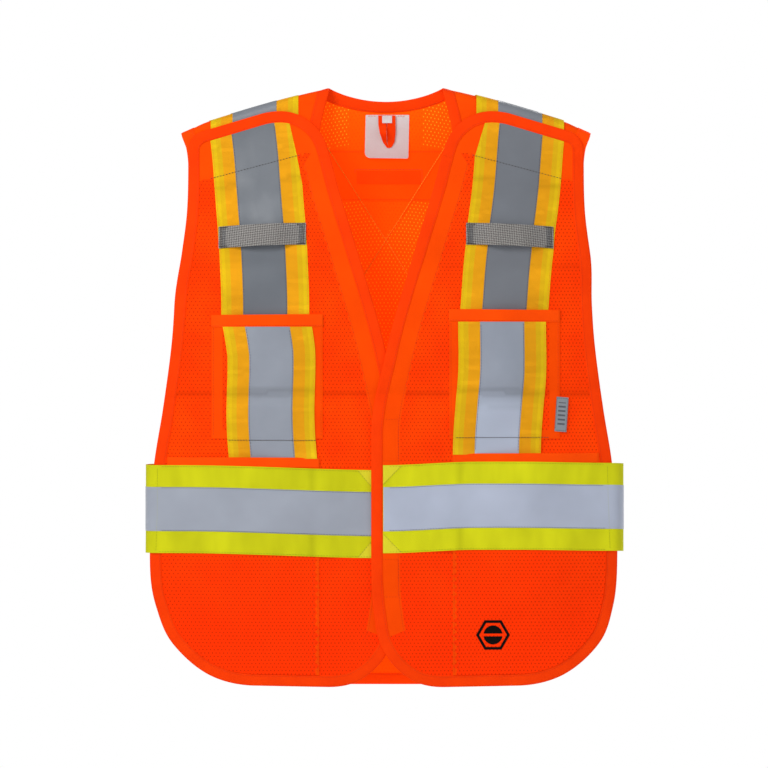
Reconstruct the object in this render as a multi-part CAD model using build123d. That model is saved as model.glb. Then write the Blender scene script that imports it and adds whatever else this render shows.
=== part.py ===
from build123d import *
from math import cos, pi, sin, sqrt
import os

# High visibility vest, five-point tear-away, closed and hanging as if worn.
# Millimetres. +Z up, front faces -Y, origin midway between the neck points on the shoulder line.
# The back panel runs over the shoulders and ends in two flaps that the fronts fasten onto.
# Cloth layers are stacked outwards from one base surface, each with a small air gap.

# ---- driving dimensions -------------------------------------------------------------------
TAPE_WIDTH = 101.6        # four-inch contrast tape
SILVER_WIDTH = 50.8       # two-inch retroreflective strip on it
BINDING = 12.6            # visible width of the folded edge binding
BINDING_LIP = 0.6         # how far the binding stands past the cloth's edge
NECK_X = 66.0             # neck point from the centre line
NECK_DROP = 15.0          # how far the back neck dips below the neck points
SHOULDER_TIP_X = 237.0
HEM_Z = -691.0
BACK_HEM_Z = -688.0
WAIST_TOP = -434.5
WAIST_BOTTOM = WAIST_TOP - TAPE_WIDTH
WAIST_MIDDLE = WAIST_TOP - TAPE_WIDTH / 2

FOLD_RADIUS = 8.0         # the cloth's radius over the shoulder
BODY_DEPTH = 50.0         # extra half depth at the centre of the chest
SIDE_LOSS = 0.72          # share of it lost at the side edge
SIDE_X = 275.0
SIDE_POWER = 2.6
DEPTH_RAMP = 150.0        # height over which the depth grows below the shoulder

FRONT_GAP = 4.0           # the fronts hang this far outside the base surface
OVERLAP_LIFT = 4.6        # the right front lies over the left one by this much
WRAP_X = 278.0            # where the waist tape turns round the side
WRAP_START_X = 264.0
PIVOT_Y = -1.0

CLOTH = 0.8
TAPE = 0.4
SILVER = 0.3
HOOK = 1.0
LEG = 0.5                 # thickness of one leg of a folded binding
PATCH = 0.6

POCKET_POUCH = 8.0        # slack of each pocket at its mouth
POCKET_START = 1.6        # offset of a pocket's cloth from the front's base surface
CHEST_POCKET_X = (73.0, 201.0)
CHEST_POCKET_Z = (-258.0, -405.0)
LOWER_POCKET_X = (77.0, 252.0)
LOWER_POCKET_TOP = -424.0
LOOP_BOW = 8.5            # how far one leg of the hanging loop stands off the other
STRAP_SIZE = (101.0, 25.0)
STRAP_CENTRE = (143.0, -171.0)
STRAP_ARCH = 8.0
CLOSURE_X = (-2.6, 16.6)  # hook and loop strips down the centre front
CLOSURE_Z = (-384.0, -586.0)

GRID_BOTTOM = -705.0
REACH = 150.0             # half length of every trimming prism
ARC_SPANS = 8             # spans of the curve round the shoulder fold


# ---- the base surface ---------------------------------------------------------------------
def smooth(value):
    value = min(max(value, 0.0), 1.0)
    return value * value * (3 - 2 * value)


def shoulder_z(x):
    """Top of the shoulder fold at this distance from the centre line."""
    return 6.9 - 0.35 * (sqrt(x * x + 100.0**2) - 100.0)


def fold_z(x):
    """Where the half-round shoulder fold meets the hanging cloth."""
    return shoulder_z(x) - FOLD_RADIUS


def depth(x, z):
    """Half depth of the closed vest."""
    side = 1 - SIDE_LOSS * (abs(x) / SIDE_X) ** SIDE_POWER
    return FOLD_RADIUS + BODY_DEPTH * side * smooth((fold_z(x) - z) / DEPTH_RAMP)


def overlap_lift(x, z):
    """Share of the overlap lift: full at the centre front, none at the shoulder and side."""
    return smooth((140.0 - x) / 120.0) * smooth((-200.0 - z) / 100.0)


def chest_pouch(x, z):
    low, high = CHEST_POCKET_X
    if not low < x < high:
        return 0.0
    along = sin(pi * (x - low) / (high - low)) ** 2
    return POCKET_POUCH * along * smooth((z + 402.0) / 100.0)


def lower_pouch(x, z):
    low, high = LOWER_POCKET_X
    if not low < x < high:
        return 0.0
    along = sin(pi * (x - low) / (high - low)) ** 2
    return POCKET_POUCH * along * smooth((z + 674.0) / 110.0)


def strap_arch(x, z):
    half = STRAP_SIZE[0] / 2 - 9.0
    place = abs(x - STRAP_CENTRE[0])
    return STRAP_ARCH * smooth((half - place) / (half * 0.75))


def flat(x, z):
    return 0.0


# ---- thin layers --------------------------------------------------------------------------
def steps(low, high, count):
    return [low + (high - low) * i / count for i in range(count + 1)]


def front_layer(lift, start, thick, bulge=flat, x_range=(-30.0, 284.0), z_range=(10.0, GRID_BOTTOM)):
    """A thin layer of a front, start to start + thick outside that front's base surface."""
    columns = steps(*x_range, max(8, round((x_range[1] - x_range[0]) / 9)))
    rows = steps(*z_range, max(8, round((z_range[0] - z_range[1]) / 15)))

    def place(x, z):
        out = depth(x, z) + FRONT_GAP + lift * overlap_lift(x, z) + start + bulge(x, z)
        return Vector(x, -out, z)

    sheet = Face.make_surface_from_array_of_points([[place(x, z) for z in rows] for x in columns])
    return Solid.extrude(sheet, Vector(0, -thick, 0))


def drape_section(x, near, far):
    """Closed outline of the draped back at one station: back, shoulder fold and front flap."""
    top = fold_z(x)
    drops = [0, 15, 30, 50, 70, 90, 110, 130, 150]
    back_z = [top - drop for drop in drops + [165, 180, 200, 230]] + steps(top - 275.0, GRID_BOTTOM, 4)
    flap_z = [top - drop for drop in drops[:-2]]
    down = (0, 0, -1)

    def leg(levels, side, off):
        points = [(x, side * (depth(x, z) + off), z) for z in levels]
        slope = (depth(x, levels[-1] - 0.5) - depth(x, levels[-1] + 0.5)) * side
        return Spline(points, tangents=[down, (0, slope, -1)])

    def over(off):
        radius = FOLD_RADIUS + off
        turns = [pi * i / ARC_SPANS for i in range(ARC_SPANS + 1)]
        points = [(x, radius * cos(a), top + radius * sin(a)) for a in turns]
        return Spline(points, tangents=[(0, 0, 1), down])

    parts = [leg(back_z, 1, far), over(far), leg(flap_z, -1, far)]
    parts += [leg(back_z, 1, near), over(near), leg(flap_z, -1, near)]
    parts.append(Line(parts[0] @ 1, parts[3] @ 1))
    parts.append(Line(parts[2] @ 1, parts[5] @ 1))
    return Wire(parts)


def drape(near, far):
    """The whole draped back as one layer, near to far outside the base surface."""
    stations = steps(-282.0, 282.0, 12)
    return Solid.make_loft([drape_section(x, near, far) for x in stations])


def prism(outline, low=-REACH, high=REACH):
    """A prism along Y through an outline drawn in the XZ plane."""
    placed = Plane.XZ * outline
    return extrude(Pos(0, high, 0) * placed, amount=high - low)


def cut_out(layer, outline, low=-REACH, high=REACH):
    return layer & prism(outline, low, high)


def box_outline(x_range, z_range, corner=0.0):
    shape = Rectangle(abs(x_range[1] - x_range[0]), abs(z_range[1] - z_range[0]))
    if corner:
        shape = fillet(shape.vertices(), corner)
    return Pos(sum(x_range) / 2, sum(z_range) / 2) * shape


def region(*points):
    return make_face(Polyline(*points, close=True))


# ---- outlines in the XZ plane -------------------------------------------------------------
def beside(edges, distance, step=15.0):
    """Points beside a run of edges, distance to the left of its direction."""
    points = []
    for edge in edges:
        count = max(2, round(edge.length / step))
        for i in range(count):
            at, way = edge @ (i / count), edge % (i / count)
            points.append((at.X - way.Y * distance, at.Y + way.X * distance))
    at, way = edges[-1] @ 1, edges[-1] % 1
    points.append((at.X - way.Y * distance, at.Y + way.X * distance))
    return points


def chained(runs):
    """Splines through several runs of points, each starting where the one before ends."""
    starts = [runs[index - 1][-1] for index in range(len(runs))]
    return [Spline([start, *run[1:]]) for start, run in zip(starts, runs)]


def front_edges():
    """Edges of the right front, clockwise: shoulder, side, hem, centre front and neck."""
    top = FilletPolyline((66.0, -76.0), (81.5, -25.0), (136.0, -26.8), (228.5, -54.5), (228.5, -90.0),
                         radius=(56.0, 80.0, 23.0))
    side = Spline(top @ 1, (229.5, -140.0), (238.5, -215.0), (243.5, -290.0), (254.0, -370.0),
                  (265.0, -440.0), (267.0, -535.0), (261.0, -600.0), (240.0, -651.0), (207.0, -679.0),
                  (150.0, HEM_Z), tangents=[(0, -1), (-1, 0)])
    hem = Line((150.0, HEM_Z), (62.0, HEM_Z))
    corner = Spline((62.0, HEM_Z), (22.0, -677.0), (-3.0, -648.0), (-13.0, -600.0), (-16.5, -540.0),
                    tangents=[(-1, 0), (0, 1)])
    centre = Line((-16.5, -540.0), (-16.5, -400.0))
    neck = Spline((-16.5, -400.0), (0.0, -307.0), (36.0, -180.0), (57.0, -110.0), top @ 0,
                  tangents=[(0, 1), top % 0])
    return [*top.edges(), side, hem, corner, centre, neck]


def front_outline(grow=0.0):
    """Region of the right front; its inner edge runs past the centre line to make the overlap."""
    *top, side, hem, corner, centre, neck = front_edges()
    runs = [beside(part, grow) for part in (top, [side], [hem, corner], [centre], [neck])]
    return make_face(chained(runs))


def front_ring(outer, inner):
    return front_outline(outer) - front_outline(-inner)


def half_back_edges():
    """Right-hand edges of the back, from the shoulder tip to the middle of the hem."""
    tip = Line((SHOULDER_TIP_X, 40.0), (SHOULDER_TIP_X, -46.0))
    arm = Spline((SHOULDER_TIP_X, -46.0), (230.0, -76.0), (228.5, -110.0), (231.0, -160.0),
                 (237.5, -215.0), (242.5, -290.0), (253.0, -370.0), (263.5, -440.0), (266.0, -535.0),
                 (260.0, -600.0), (252.0, -628.0), (238.0, -650.0), (218.0, -668.0), (190.0, -682.0),
                 (150.0, BACK_HEM_Z))
    return [tip, arm, Line((150.0, BACK_HEM_Z), (0.0, BACK_HEM_Z))]


def back_rim(grow):
    """Armhole, side and hem edges of the whole back, moved out by grow."""
    right = [beside([edge], grow) for edge in half_back_edges()]
    left = [[(-x, z) for x, z in reversed(run)] for run in reversed(right)]
    runs = [*right, *left]
    for before, after in zip(runs, runs[1:]):
        after[0] = before[-1]
    return [Spline(run) for run in runs]


def back_region(grow):
    rim = back_rim(grow)
    return make_face([*rim, Line(rim[-1] @ 1, rim[0] @ 0)])


NECK_RADIUS = (NECK_X**2 + NECK_DROP**2) / (2 * NECK_DROP)


def neck_gap(grow):
    """What the neck opening takes out of the back, with its edge moved by grow."""
    half, radius = NECK_X + grow, NECK_RADIUS + grow
    middle = NECK_RADIUS - NECK_DROP
    corner = middle - sqrt(radius**2 - half**2)
    bowl = ThreePointArc((half, corner), (0, middle - radius), (-half, corner))
    return make_face([bowl, *Polyline(bowl @ 1, (-half, 60), (half, 60), bowl @ 0).edges()])


def back_outline():
    """The back panel behind the shoulder line, open upwards over the shoulders."""
    return back_region(0.0) - neck_gap(0.0)


def flap_outline():
    """The right shoulder flap in front of the shoulder line."""
    return region((NECK_X, 40), (NECK_X, 0), (77, -47), (80, -74), (103, -81), (200, -106),
                  (214, -104), (228, -78), (236, -54), (SHOULDER_TIP_X, -46), (SHOULDER_TIP_X, 40))


def mirrored(outline):
    return outline.mirror(Plane.YZ)


def both_sides(outline):
    return outline + mirrored(outline)


def tape_strip(points, width):
    """A strip of even width along a slightly bent centre line."""
    left, right = [], []
    for index, (x, z) in enumerate(points):
        before = points[max(index - 1, 0)]
        after = points[min(index + 1, len(points) - 1)]
        run = (after[0] - before[0], after[1] - before[1])
        size = sqrt(run[0] ** 2 + run[1] ** 2)
        off = (-run[1] / size * width / 2, run[0] / size * width / 2)
        left.append((x + off[0], z + off[1]))
        right.append((x - off[0], z - off[1]))
    return region(*left, *reversed(right))


# ---- saving -------------------------------------------------------------------------------
def save(name, shape):
    """Writes one node, keeping only real solids."""
    solids = [solid for solid in shape.solids() if solid.volume > 1.0]
    whole = solids[0] if len(solids) == 1 else Compound(children=solids)
    export_step(whole, f"parts/{name}.step")
    print(name, len(solids), round(sum(solid.volume for solid in solids)))


# ---- the back -----------------------------------------------------------------------------
def back_panel():
    trim = prism(back_outline(), 0, REACH) + prism(both_sides(flap_outline()), -REACH, 0)
    return drape(0, CLOTH) & trim


def back_layer(start, thick):
    """A layer of the back below the shoulder fold."""
    columns = steps(-282.0, 282.0, 40)
    rows = steps(-60.0, GRID_BOTTOM, 42)
    place = [[Vector(x, depth(x, z) + start, z) for z in rows] for x in columns]
    return Solid.extrude(Face.make_surface_from_array_of_points(place), Vector(0, thick, 0))


def neck_ring(outer, inner):
    """Prism of the strip beside the neck edge, outer past the edge and inner into the cloth."""
    behind = neck_gap(inner) - neck_gap(-outer)
    route = [(NECK_X, 40), (NECK_X, 0), (77, -47), (80, -74)]
    before = region(*[(x - outer, z) for x, z in route], *[(x + inner, z) for x, z in reversed(route)])
    return prism(behind, 0, REACH) + prism(both_sides(before), -REACH, 0)


def folded(layer, ring, gap=0.1):
    """Folded binding: a strip outside the cloth, one inside it, and the fold past its edge."""
    legs = [layer(start, LEG) & ring(0.1, BINDING) for start in (CLOTH + gap, -gap - LEG)]
    fold = layer(-gap - LEG, CLOTH + 2 * gap + 2 * LEG) & ring(BINDING_LIP, -0.1)
    return Compound(children=[solid for part in (*legs, fold) for solid in part.solids()])


def neck_binding():
    return folded(lambda near, thick: drape(near, near + thick), neck_ring)


def back_edge_binding():
    def ring(outer, inner):
        strip = back_region(outer) - back_region(-inner)
        return prism(strip & box_outline((-300, 300), (-62, -720)), 0, REACH)

    return folded(back_layer, ring, 0.25)


def back_arm(side):
    """Outline of one arm of the cross behind the shoulder line."""
    top = (155.0 + 262.0 * 0.2, -22.0 + 413.0 * 0.2)
    low = (155.0 - 262.0 * 1.02, -22.0 - 413.0 * 1.02)
    return [(side * top[0], top[1]), (side * low[0], low[1])]


def cross_tape(side, near, far, width):
    """Tape from the flap over the shoulder and across the back to the waist."""
    behind = tape_strip(back_arm(side), width)
    behind &= box_outline((-250, 250), (60, -450))
    middle = 154.0
    before = region((middle - width / 2, 60), (middle + width / 2, 60),
                    (middle + width / 2, -36 - 0.29 * (middle + width / 2 - 90)),
                    (middle - width / 2, -36 - 0.29 * (middle - width / 2 - 90)))
    if side < 0:
        before = mirrored(before)
    trim = prism(behind, 0, REACH) + prism(before, -REACH, 0)
    return drape(near, far) & trim


def shoulder_loop():
    patch = region((106, -43), (212, -74), (208, -101), (200, -103), (106, -79))
    return cut_out(drape(1.0, 2.3), patch, -REACH, 0)


def back_details():
    save("back_panel", back_panel())
    save("neck_binding", neck_binding())
    save("back_edge_binding", back_edge_binding())
    save("back_tape_left", cross_tape(-1, 1.0, 1.4, TAPE_WIDTH))
    save("back_silver_left", cross_tape(-1, 1.5, 1.8, SILVER_WIDTH))
    save("back_tape_right", cross_tape(1, 2.0, 2.4, TAPE_WIDTH))
    save("back_silver_right", cross_tape(1, 2.5, 2.8, SILVER_WIDTH))
    yoke = cut_out(drape(-0.7, -0.1), box_outline((-75, 75), (-70, -129)), 0, REACH)
    save("yoke_patch", yoke)
    welt = cut_out(drape(-1.4, -0.9), box_outline((-34, 40), (-94, -109)), 0, REACH)
    save("yoke_welt", welt)
    loop = shoulder_loop()
    save("shoulder_loop_right", loop)
    save("shoulder_loop_left", loop.mirror(Plane.YZ))


# ---- waist tape, drawn in plan and extruded upwards ---------------------------------------
def waist_rise(x):
    """The front waist tape climbs from the panel onto the lower pocket."""
    return 1.0 + 1.4 * smooth((x - 45.0) / 28.0) + lower_pouch(x, WAIST_MIDDLE)


def front_plan(lift, x, off):
    out = depth(x, WAIST_MIDDLE) + FRONT_GAP + lift * overlap_lift(x, WAIST_MIDDLE)
    return (x, -(out + waist_rise(x) + off))


def turn(start, slope, side, off, end_y):
    """Quarter turn round the side, from the tape's straight run to the pivot line."""
    last = (WRAP_X + off, end_y)
    reach = abs(start[1] - end_y)
    first_handle = (start[0] + 11.0, start[1] + slope * 11.0)
    last_handle = (last[0], last[1] + side * reach * 0.62)
    return Bezier(start, first_handle, last_handle, last)


def front_waist_curve(lift, x_start, off, end_y):
    points = [front_plan(lift, x, off) for x in steps(x_start, WRAP_START_X, 26)]
    before = front_plan(lift, WRAP_START_X - 1, off)
    slope = points[-1][1] - before[1]
    run = Spline(points)
    return run, turn(points[-1], slope, -1, off, end_y)


def plan_strip(inner, outer, z_range):
    """A strip between two plan curves, raised between two heights."""
    ends = [Line(inner[0] @ 0, outer[0] @ 0), Line(inner[-1] @ 1, outer[-1] @ 1)]
    face = make_face([*inner, *outer, *ends])
    return extrude(Pos(0, 0, min(z_range)) * face, amount=abs(z_range[1] - z_range[0]), dir=(0, 0, 1))


def front_waist(lift, x_start, off, thick, z_range, end_y):
    inner = front_waist_curve(lift, x_start, off, end_y)
    outer = front_waist_curve(lift, x_start, off + thick, end_y)
    return plan_strip(inner, outer, z_range)


def back_plan(x, off):
    return (x, depth(x, WAIST_MIDDLE) + off)


def back_run(x_range, off, thick, z_range):
    inner = [Spline([back_plan(x, off) for x in steps(*x_range, 40)])]
    outer = [Spline([back_plan(x, off + thick) for x in steps(*x_range, 40)])]
    return plan_strip(inner, outer, z_range)


def tab_curve(off, end_y, x_end):
    """The side tab: from the pivot line round the side and onto the back's waist tape."""
    seat = 5.7
    points = [back_plan(x, seat + off) for x in steps(WRAP_START_X, x_end, 10)]
    slope = points[0][1] - back_plan(WRAP_START_X - 1, seat + off)[1]
    return turn(points[0], slope, 1, off, end_y), Spline(points)


def side_tab(off, thick, z_range, end_y, x_end):
    inner_turn, inner_run = tab_curve(off, end_y, x_end)
    outer_turn, outer_run = tab_curve(off + thick, end_y, x_end)
    ends = [Line(inner_turn @ 1, outer_turn @ 1), Line(inner_run @ 1, outer_run @ 1)]
    face = make_face([inner_turn, inner_run, outer_turn, outer_run, *ends])
    return extrude(Pos(0, 0, min(z_range)) * face, amount=abs(z_range[1] - z_range[0]), dir=(0, 0, 1))


def back_waist():
    full = (WAIST_TOP, WAIST_BOTTOM)
    stripe = (WAIST_MIDDLE + SILVER_WIDTH / 2, WAIST_MIDDLE - SILVER_WIDTH / 2)
    patch = (WAIST_TOP - 6, WAIST_BOTTOM + 6)
    save("back_waist_tape", back_run((-258, 258), 3.0, TAPE, full))
    save("back_waist_silver", back_run((-211, 211), 3.5, SILVER, stripe))
    tab = side_tab(0, TAPE, full, PIVOT_Y + 0.6, 214)
    tab_silver = side_tab(0.5, SILVER, stripe, PIVOT_Y + 2.0, 216)
    loop = back_run((216, 256), 3.5, 0.9, patch)
    hook = back_run((218, 256), 4.6, 0.9, patch)
    for name, shape in (("side_tab", tab), ("side_tab_silver", tab_silver),
                        ("side_loop", loop), ("side_hook", hook)):
        save(f"{name}_right", shape)
        save(f"{name}_left", shape.mirror(Plane.YZ))


# ---- neck pieces --------------------------------------------------------------------------
def back_inside(x, z, off):
    return depth(x, z) - off


def neck_label():
    """White care label, sewn along its top edge just under the neck binding."""
    outline = fillet(Rectangle(51.5, 51.5).vertices(), 4.0)
    outline = Pos(1.2, -55.3) * outline
    return cut_out(drape(-1.55, -1.2), outline, 0, REACH)


def loop_leg(x_range, bow):
    """One leg of the hanging loop, flat at its seam and at its foot and bowed forward between."""
    levels = (-30.0, -41.0, -51.5, -62.0, -67.5)
    top, upper, middle, lower, tip = [(back_inside(0, z, 3.0), z) for z in levels]
    middle = ((upper[0] + lower[0]) / 2 - bow, middle[1])
    heading = (lower[0] - upper[0], lower[1] - upper[1])

    def path(push):
        points = [(y - push, z) for y, z in (top, upper, middle, lower, tip)]
        bowed = Spline(points[1:4], tangents=[heading, heading]) if bow else Line(points[1], points[3])
        return [Line(points[0], points[1]), bowed, Line(points[3], points[4])]

    inner, outer = path(0.0), path(0.6)
    ends = [Line(inner[0] @ 0, outer[0] @ 0), Line(inner[2] @ 1, outer[2] @ 1)]
    face = make_face([*inner, *outer, *ends])
    width = x_range[1] - x_range[0]
    return extrude(Plane.YZ.offset(x_range[0]) * face, amount=width)


def hang_loop():
    left = loop_leg((-9.0, 0.6), LOOP_BOW)
    right = loop_leg((1.4, 11.0), 0.0)
    bridge = loop_leg((0.6, 1.4), 0.0) & Pos(1.0, 0, -70) * Box(4, 200, 16)
    return left + right + bridge


def size_label():
    top = back_inside(0, -30.5, 4.0)
    low = back_inside(0, -39.0, 4.0)
    outline = Polyline((top, -30.5), (low, -39.0), (low - 0.4, -39.0), (top - 0.4, -30.5), close=True)
    return extrude(Plane.YZ.offset(-4.4) * make_face(outline), amount=11.4)


# ---- the fronts ---------------------------------------------------------------------------
def front_panel(lift):
    return cut_out(front_layer(lift, 0, CLOTH), front_outline())


def front_binding(lift):
    def ring(outer, inner):
        return prism(front_ring(outer, inner))

    return folded(lambda near, thick: front_layer(lift, near, thick), ring)


def front_facing(lift):
    """Solid cloth strip inside the neck and centre front edges."""
    run = front_edges()[-3:]
    outer = Spline(beside(run, -(BINDING + 0.6)))
    inner = Spline(beside(run, -33.0))
    strip = make_face([outer, inner, Line(outer @ 0, inner @ 0), Line(outer @ 1, inner @ 1)])
    return cut_out(front_layer(lift, -0.7, PATCH), strip & box_outline((-40, 200), (0, -655)))


def shoulder_hook(lift):
    patch = region((60, 0), (240, 0), (240, -110), (200, -103), (103, -78), (60, -72))
    patch &= front_outline(-(BINDING + 0.6))
    return cut_out(front_layer(lift, -1.1, HOOK), patch)


CHEST_LINE = [(160.0, -20.0), (150.0, -100.0), (143.0, -157.0), (141.0, -222.0), (139.2, -257.0)]


def chest_tape(lift, start, thick, width):
    strip = tape_strip(CHEST_LINE, width) & front_outline(-(BINDING + 0.4))
    strip &= box_outline((0, 300), (0, CHEST_POCKET_Z[0] + 0.8))
    return cut_out(front_layer(lift, start, thick), strip)


def mic_strap(lift):
    strip = Pos(*STRAP_CENTRE) * Rectangle(*STRAP_SIZE)
    x_range = (STRAP_CENTRE[0] - 60, STRAP_CENTRE[0] + 60)
    layer = front_layer(lift, 2.0, 0.9, strap_arch, x_range, (-140.0, -200.0))
    return cut_out(layer, strip)


def pocket_mouth(lift, pouch, zone, top):
    """Binding folded over a pocket's top edge."""
    below = box_outline((0, 300), (top - 0.1, -600))
    parts = [cut_out(front_layer(lift, start, 0.4, pouch), zone & below)
             for start in (POCKET_START - 0.5, POCKET_START + PATCH + 0.1)]
    fold = zone - below
    parts.append(cut_out(front_layer(lift, POCKET_START - 0.5, PATCH + 1.0, pouch), fold))
    return Compound(children=[solid for part in parts for solid in part.solids()])


def chest_pocket(lift):
    x_range, z_range = CHEST_POCKET_X, CHEST_POCKET_Z
    sheet = box_outline(x_range, (z_range[0] - 0.2, z_range[1]))
    body = cut_out(front_layer(lift, POCKET_START, PATCH, chest_pouch), sheet)
    mouth = pocket_mouth(lift, chest_pouch, box_outline(x_range, (z_range[0] + 0.4, z_range[0] - 14)),
                         z_range[0])
    return body, mouth


def pocket_tape(lift, start, thick, width):
    strip = tape_strip([(135.5, -273.0), (131.5, -422.0)], width)
    strip &= box_outline((0, 300), (CHEST_POCKET_Z[0] - 14.4, LOWER_POCKET_TOP + 1.5))
    return cut_out(front_layer(lift, start, thick, chest_pouch), strip)


def lower_pocket(lift):
    inner = front_outline(-(BINDING + 0.6))
    x_low = LOWER_POCKET_X[0]
    sheet = inner & box_outline((x_low, 300), (LOWER_POCKET_TOP - 0.2, -700))
    body = cut_out(front_layer(lift, POCKET_START, PATCH, lower_pouch), sheet)
    zone = inner & box_outline((x_low, 300), (LOWER_POCKET_TOP + 0.4, WAIST_TOP + 0.4))
    mouth = pocket_mouth(lift, lower_pouch, zone, LOWER_POCKET_TOP)
    return body, mouth


def closure_patch(lift, over):
    """Hook strip inside the upper front, loop strips outside the lower one."""
    top, foot = CLOSURE_Z
    if over:
        strip = box_outline(CLOSURE_X, CLOSURE_Z)
    else:
        strip = box_outline(CLOSURE_X, (top, WAIST_TOP + 3))
        strip += box_outline(CLOSURE_X, (WAIST_BOTTOM - 3, foot))
    return cut_out(front_layer(lift, -1.8 if over else 1.0, HOOK), strip & front_outline(-(BINDING + 0.6)))


def front(lift, side):
    """All the pieces of one front, built on the right and mirrored for the left."""
    over = side == "right"
    stripe = (WAIST_MIDDLE + SILVER_WIDTH / 2, WAIST_MIDDLE - SILVER_WIDTH / 2)
    chest_pouch_cloth, chest_mouth = chest_pocket(lift)
    lower_pouch_cloth, lower_mouth = lower_pocket(lift)
    x_start = -3.5
    pieces = {
        "front_panel": front_panel(lift),
        "front_binding": front_binding(lift),
        "front_facing": front_facing(lift),
        "shoulder_hook": shoulder_hook(lift),
        "chest_tape": chest_tape(lift, 1.0, TAPE, TAPE_WIDTH),
        "chest_silver": chest_tape(lift, 1.5, SILVER, SILVER_WIDTH),
        "mic_strap": mic_strap(lift),
        "chest_pocket": chest_pouch_cloth,
        "chest_pocket_binding": chest_mouth,
        "pocket_tape": pocket_tape(lift, 3.0, TAPE, TAPE_WIDTH),
        "pocket_silver": pocket_tape(lift, 3.5, SILVER, SILVER_WIDTH),
        "lower_pocket": lower_pouch_cloth,
        "lower_pocket_binding": lower_mouth,
        "waist_tape": front_waist(lift, x_start, 0.0, TAPE, (WAIST_TOP, WAIST_BOTTOM), PIVOT_Y - 0.6),
        "waist_silver": front_waist(lift, x_start + 2, 0.5, SILVER, stripe, PIVOT_Y - 2.0),
        "closure_hook" if over else "closure_loop": closure_patch(lift, over),
    }
    for name, shape in pieces.items():
        save(f"{name}_{side}", shape if over else shape.mirror(Plane.YZ))


def front_marks(lift):
    """Woven tag in the pocket's side seam and a plain printed hexagon on the lower pocket."""
    tag = Pos(203.5, -377.0) * Rot(0, 0, -4) * Rectangle(15.0, 40.0)
    save("woven_tag", cut_out(front_layer(lift, 2.6, TAPE, chest_pouch), tag))
    badge = Pos(123.5, -631.5) * RegularPolygon(20.0, 6)
    save("printed_badge", cut_out(front_layer(lift, 2.35, 0.15, lower_pouch), badge))


os.makedirs("parts", exist_ok=True)
back_details()
back_waist()
save("neck_label", neck_label())
save("hang_loop", hang_loop())
save("size_label", size_label())
front(0.0, "left")
front(OVERLAP_LIFT, "right")
front_marks(OVERLAP_LIFT)
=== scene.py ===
import math

import bpy
import numpy as np
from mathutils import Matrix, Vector
from mathutils.geometry import delaunay_2d_cdt


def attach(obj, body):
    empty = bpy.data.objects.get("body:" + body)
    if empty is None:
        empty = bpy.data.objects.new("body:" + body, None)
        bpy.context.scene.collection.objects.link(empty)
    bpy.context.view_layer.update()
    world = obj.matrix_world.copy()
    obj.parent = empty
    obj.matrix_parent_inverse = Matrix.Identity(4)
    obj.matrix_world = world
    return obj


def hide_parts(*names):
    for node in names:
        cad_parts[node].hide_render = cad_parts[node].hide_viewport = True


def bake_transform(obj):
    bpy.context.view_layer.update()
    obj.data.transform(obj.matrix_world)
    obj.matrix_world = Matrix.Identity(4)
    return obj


# High visibility vest: the cloth, tapes, bindings, stitching and labels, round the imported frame.
# Sizes are millimetres until make_mesh turns them into metres. x is to the right of the centre
# line, z is up, and every cloth is a plane cutting laid onto the vest's base surface.

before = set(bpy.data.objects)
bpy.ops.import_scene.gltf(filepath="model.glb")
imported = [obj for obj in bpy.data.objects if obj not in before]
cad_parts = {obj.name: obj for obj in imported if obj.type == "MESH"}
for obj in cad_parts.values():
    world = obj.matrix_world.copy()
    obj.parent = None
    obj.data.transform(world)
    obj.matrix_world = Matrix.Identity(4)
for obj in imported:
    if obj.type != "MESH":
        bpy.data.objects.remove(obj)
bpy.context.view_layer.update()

MM = 0.001

# ---- sizes of the vest: the CAD's, but for a few that follow the cloth's drape to 3 mm ------
TAPE_WIDTH = 101.6
SILVER_WIDTH = 50.8
BINDING = 12.6
NECK_X = 66.0
NECK_DROP = 15.0
SHOULDER_TIP_X = 237.0
HEM_Z = -691.0
BACK_HEM_Z = -691.0
WAIST_TOP = -434.5
WAIST_MIDDLE = WAIST_TOP - TAPE_WIDTH / 2
WAIST_BOTTOM = WAIST_TOP - TAPE_WIDTH
FOLD_RADIUS = 8.0
BODY_DEPTH = 50.0
SIDE_LOSS = 0.72
SIDE_X = 275.0
SIDE_POWER = 2.6
DEPTH_RAMP = 150.0
FRONT_GAP = 4.0
OVERLAP_LIFT = 4.6
WRAP_X = {-1: 278.0, 1: 275.0}            # where the waist tape turns round each side
WRAP_START_X = {-1: 264.0, 1: 262.5}      # where its front run leaves the front
PIVOT_Y = -1.0
POCKET_POUCH = 8.0
POCKET_START = 1.6
CHEST_POCKET_X = (73.0, 201.0)
CHEST_POCKET_Z = (-258.0, -405.0)
LOWER_POCKET_X = (77.0, 252.0)
LOWER_POCKET_TOP = {-1: -427.2, 1: -422.4}
STRAP_SIZE = (101.0, 25.0)
STRAP_CENTRE = (143.0, -171.0)
STRAP_ARCH = 8.0
LOOP_BOW = 8.5
NECK_RADIUS = (NECK_X**2 + NECK_DROP**2) / (2 * NECK_DROP)
# Centre lines of the vertical tapes, from the top down: on the chest and on the chest pockets.
CHEST_LINES = {-1: [(158.0, -20.0), (153.7, -50.0), (149.0, -105.0), (143.0, -156.0), (141.0, -188.0),
                    (140.2, -278.0)],
               1: [(160.5, -20.0), (152.5, -88.0), (145.2, -158.0), (143.6, -186.0), (139.2, -226.0),
                   (133.6, -278.0)]}
POCKET_LINES = {-1: [(139.5, -262.0), (134.0, -306.0), (133.0, -332.0), (132.3, -360.0),
                     (130.5, -436.0)],
                1: [(135.5, -262.0), (132.5, -330.0), (130.8, -360.0), (130.0, -396.0),
                    (129.2, -432.0)]}
POCKET_SHIFT = {-1: -3.6, 1: 2.2}  # the left chest pocket sits a little lower than the right one

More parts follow.
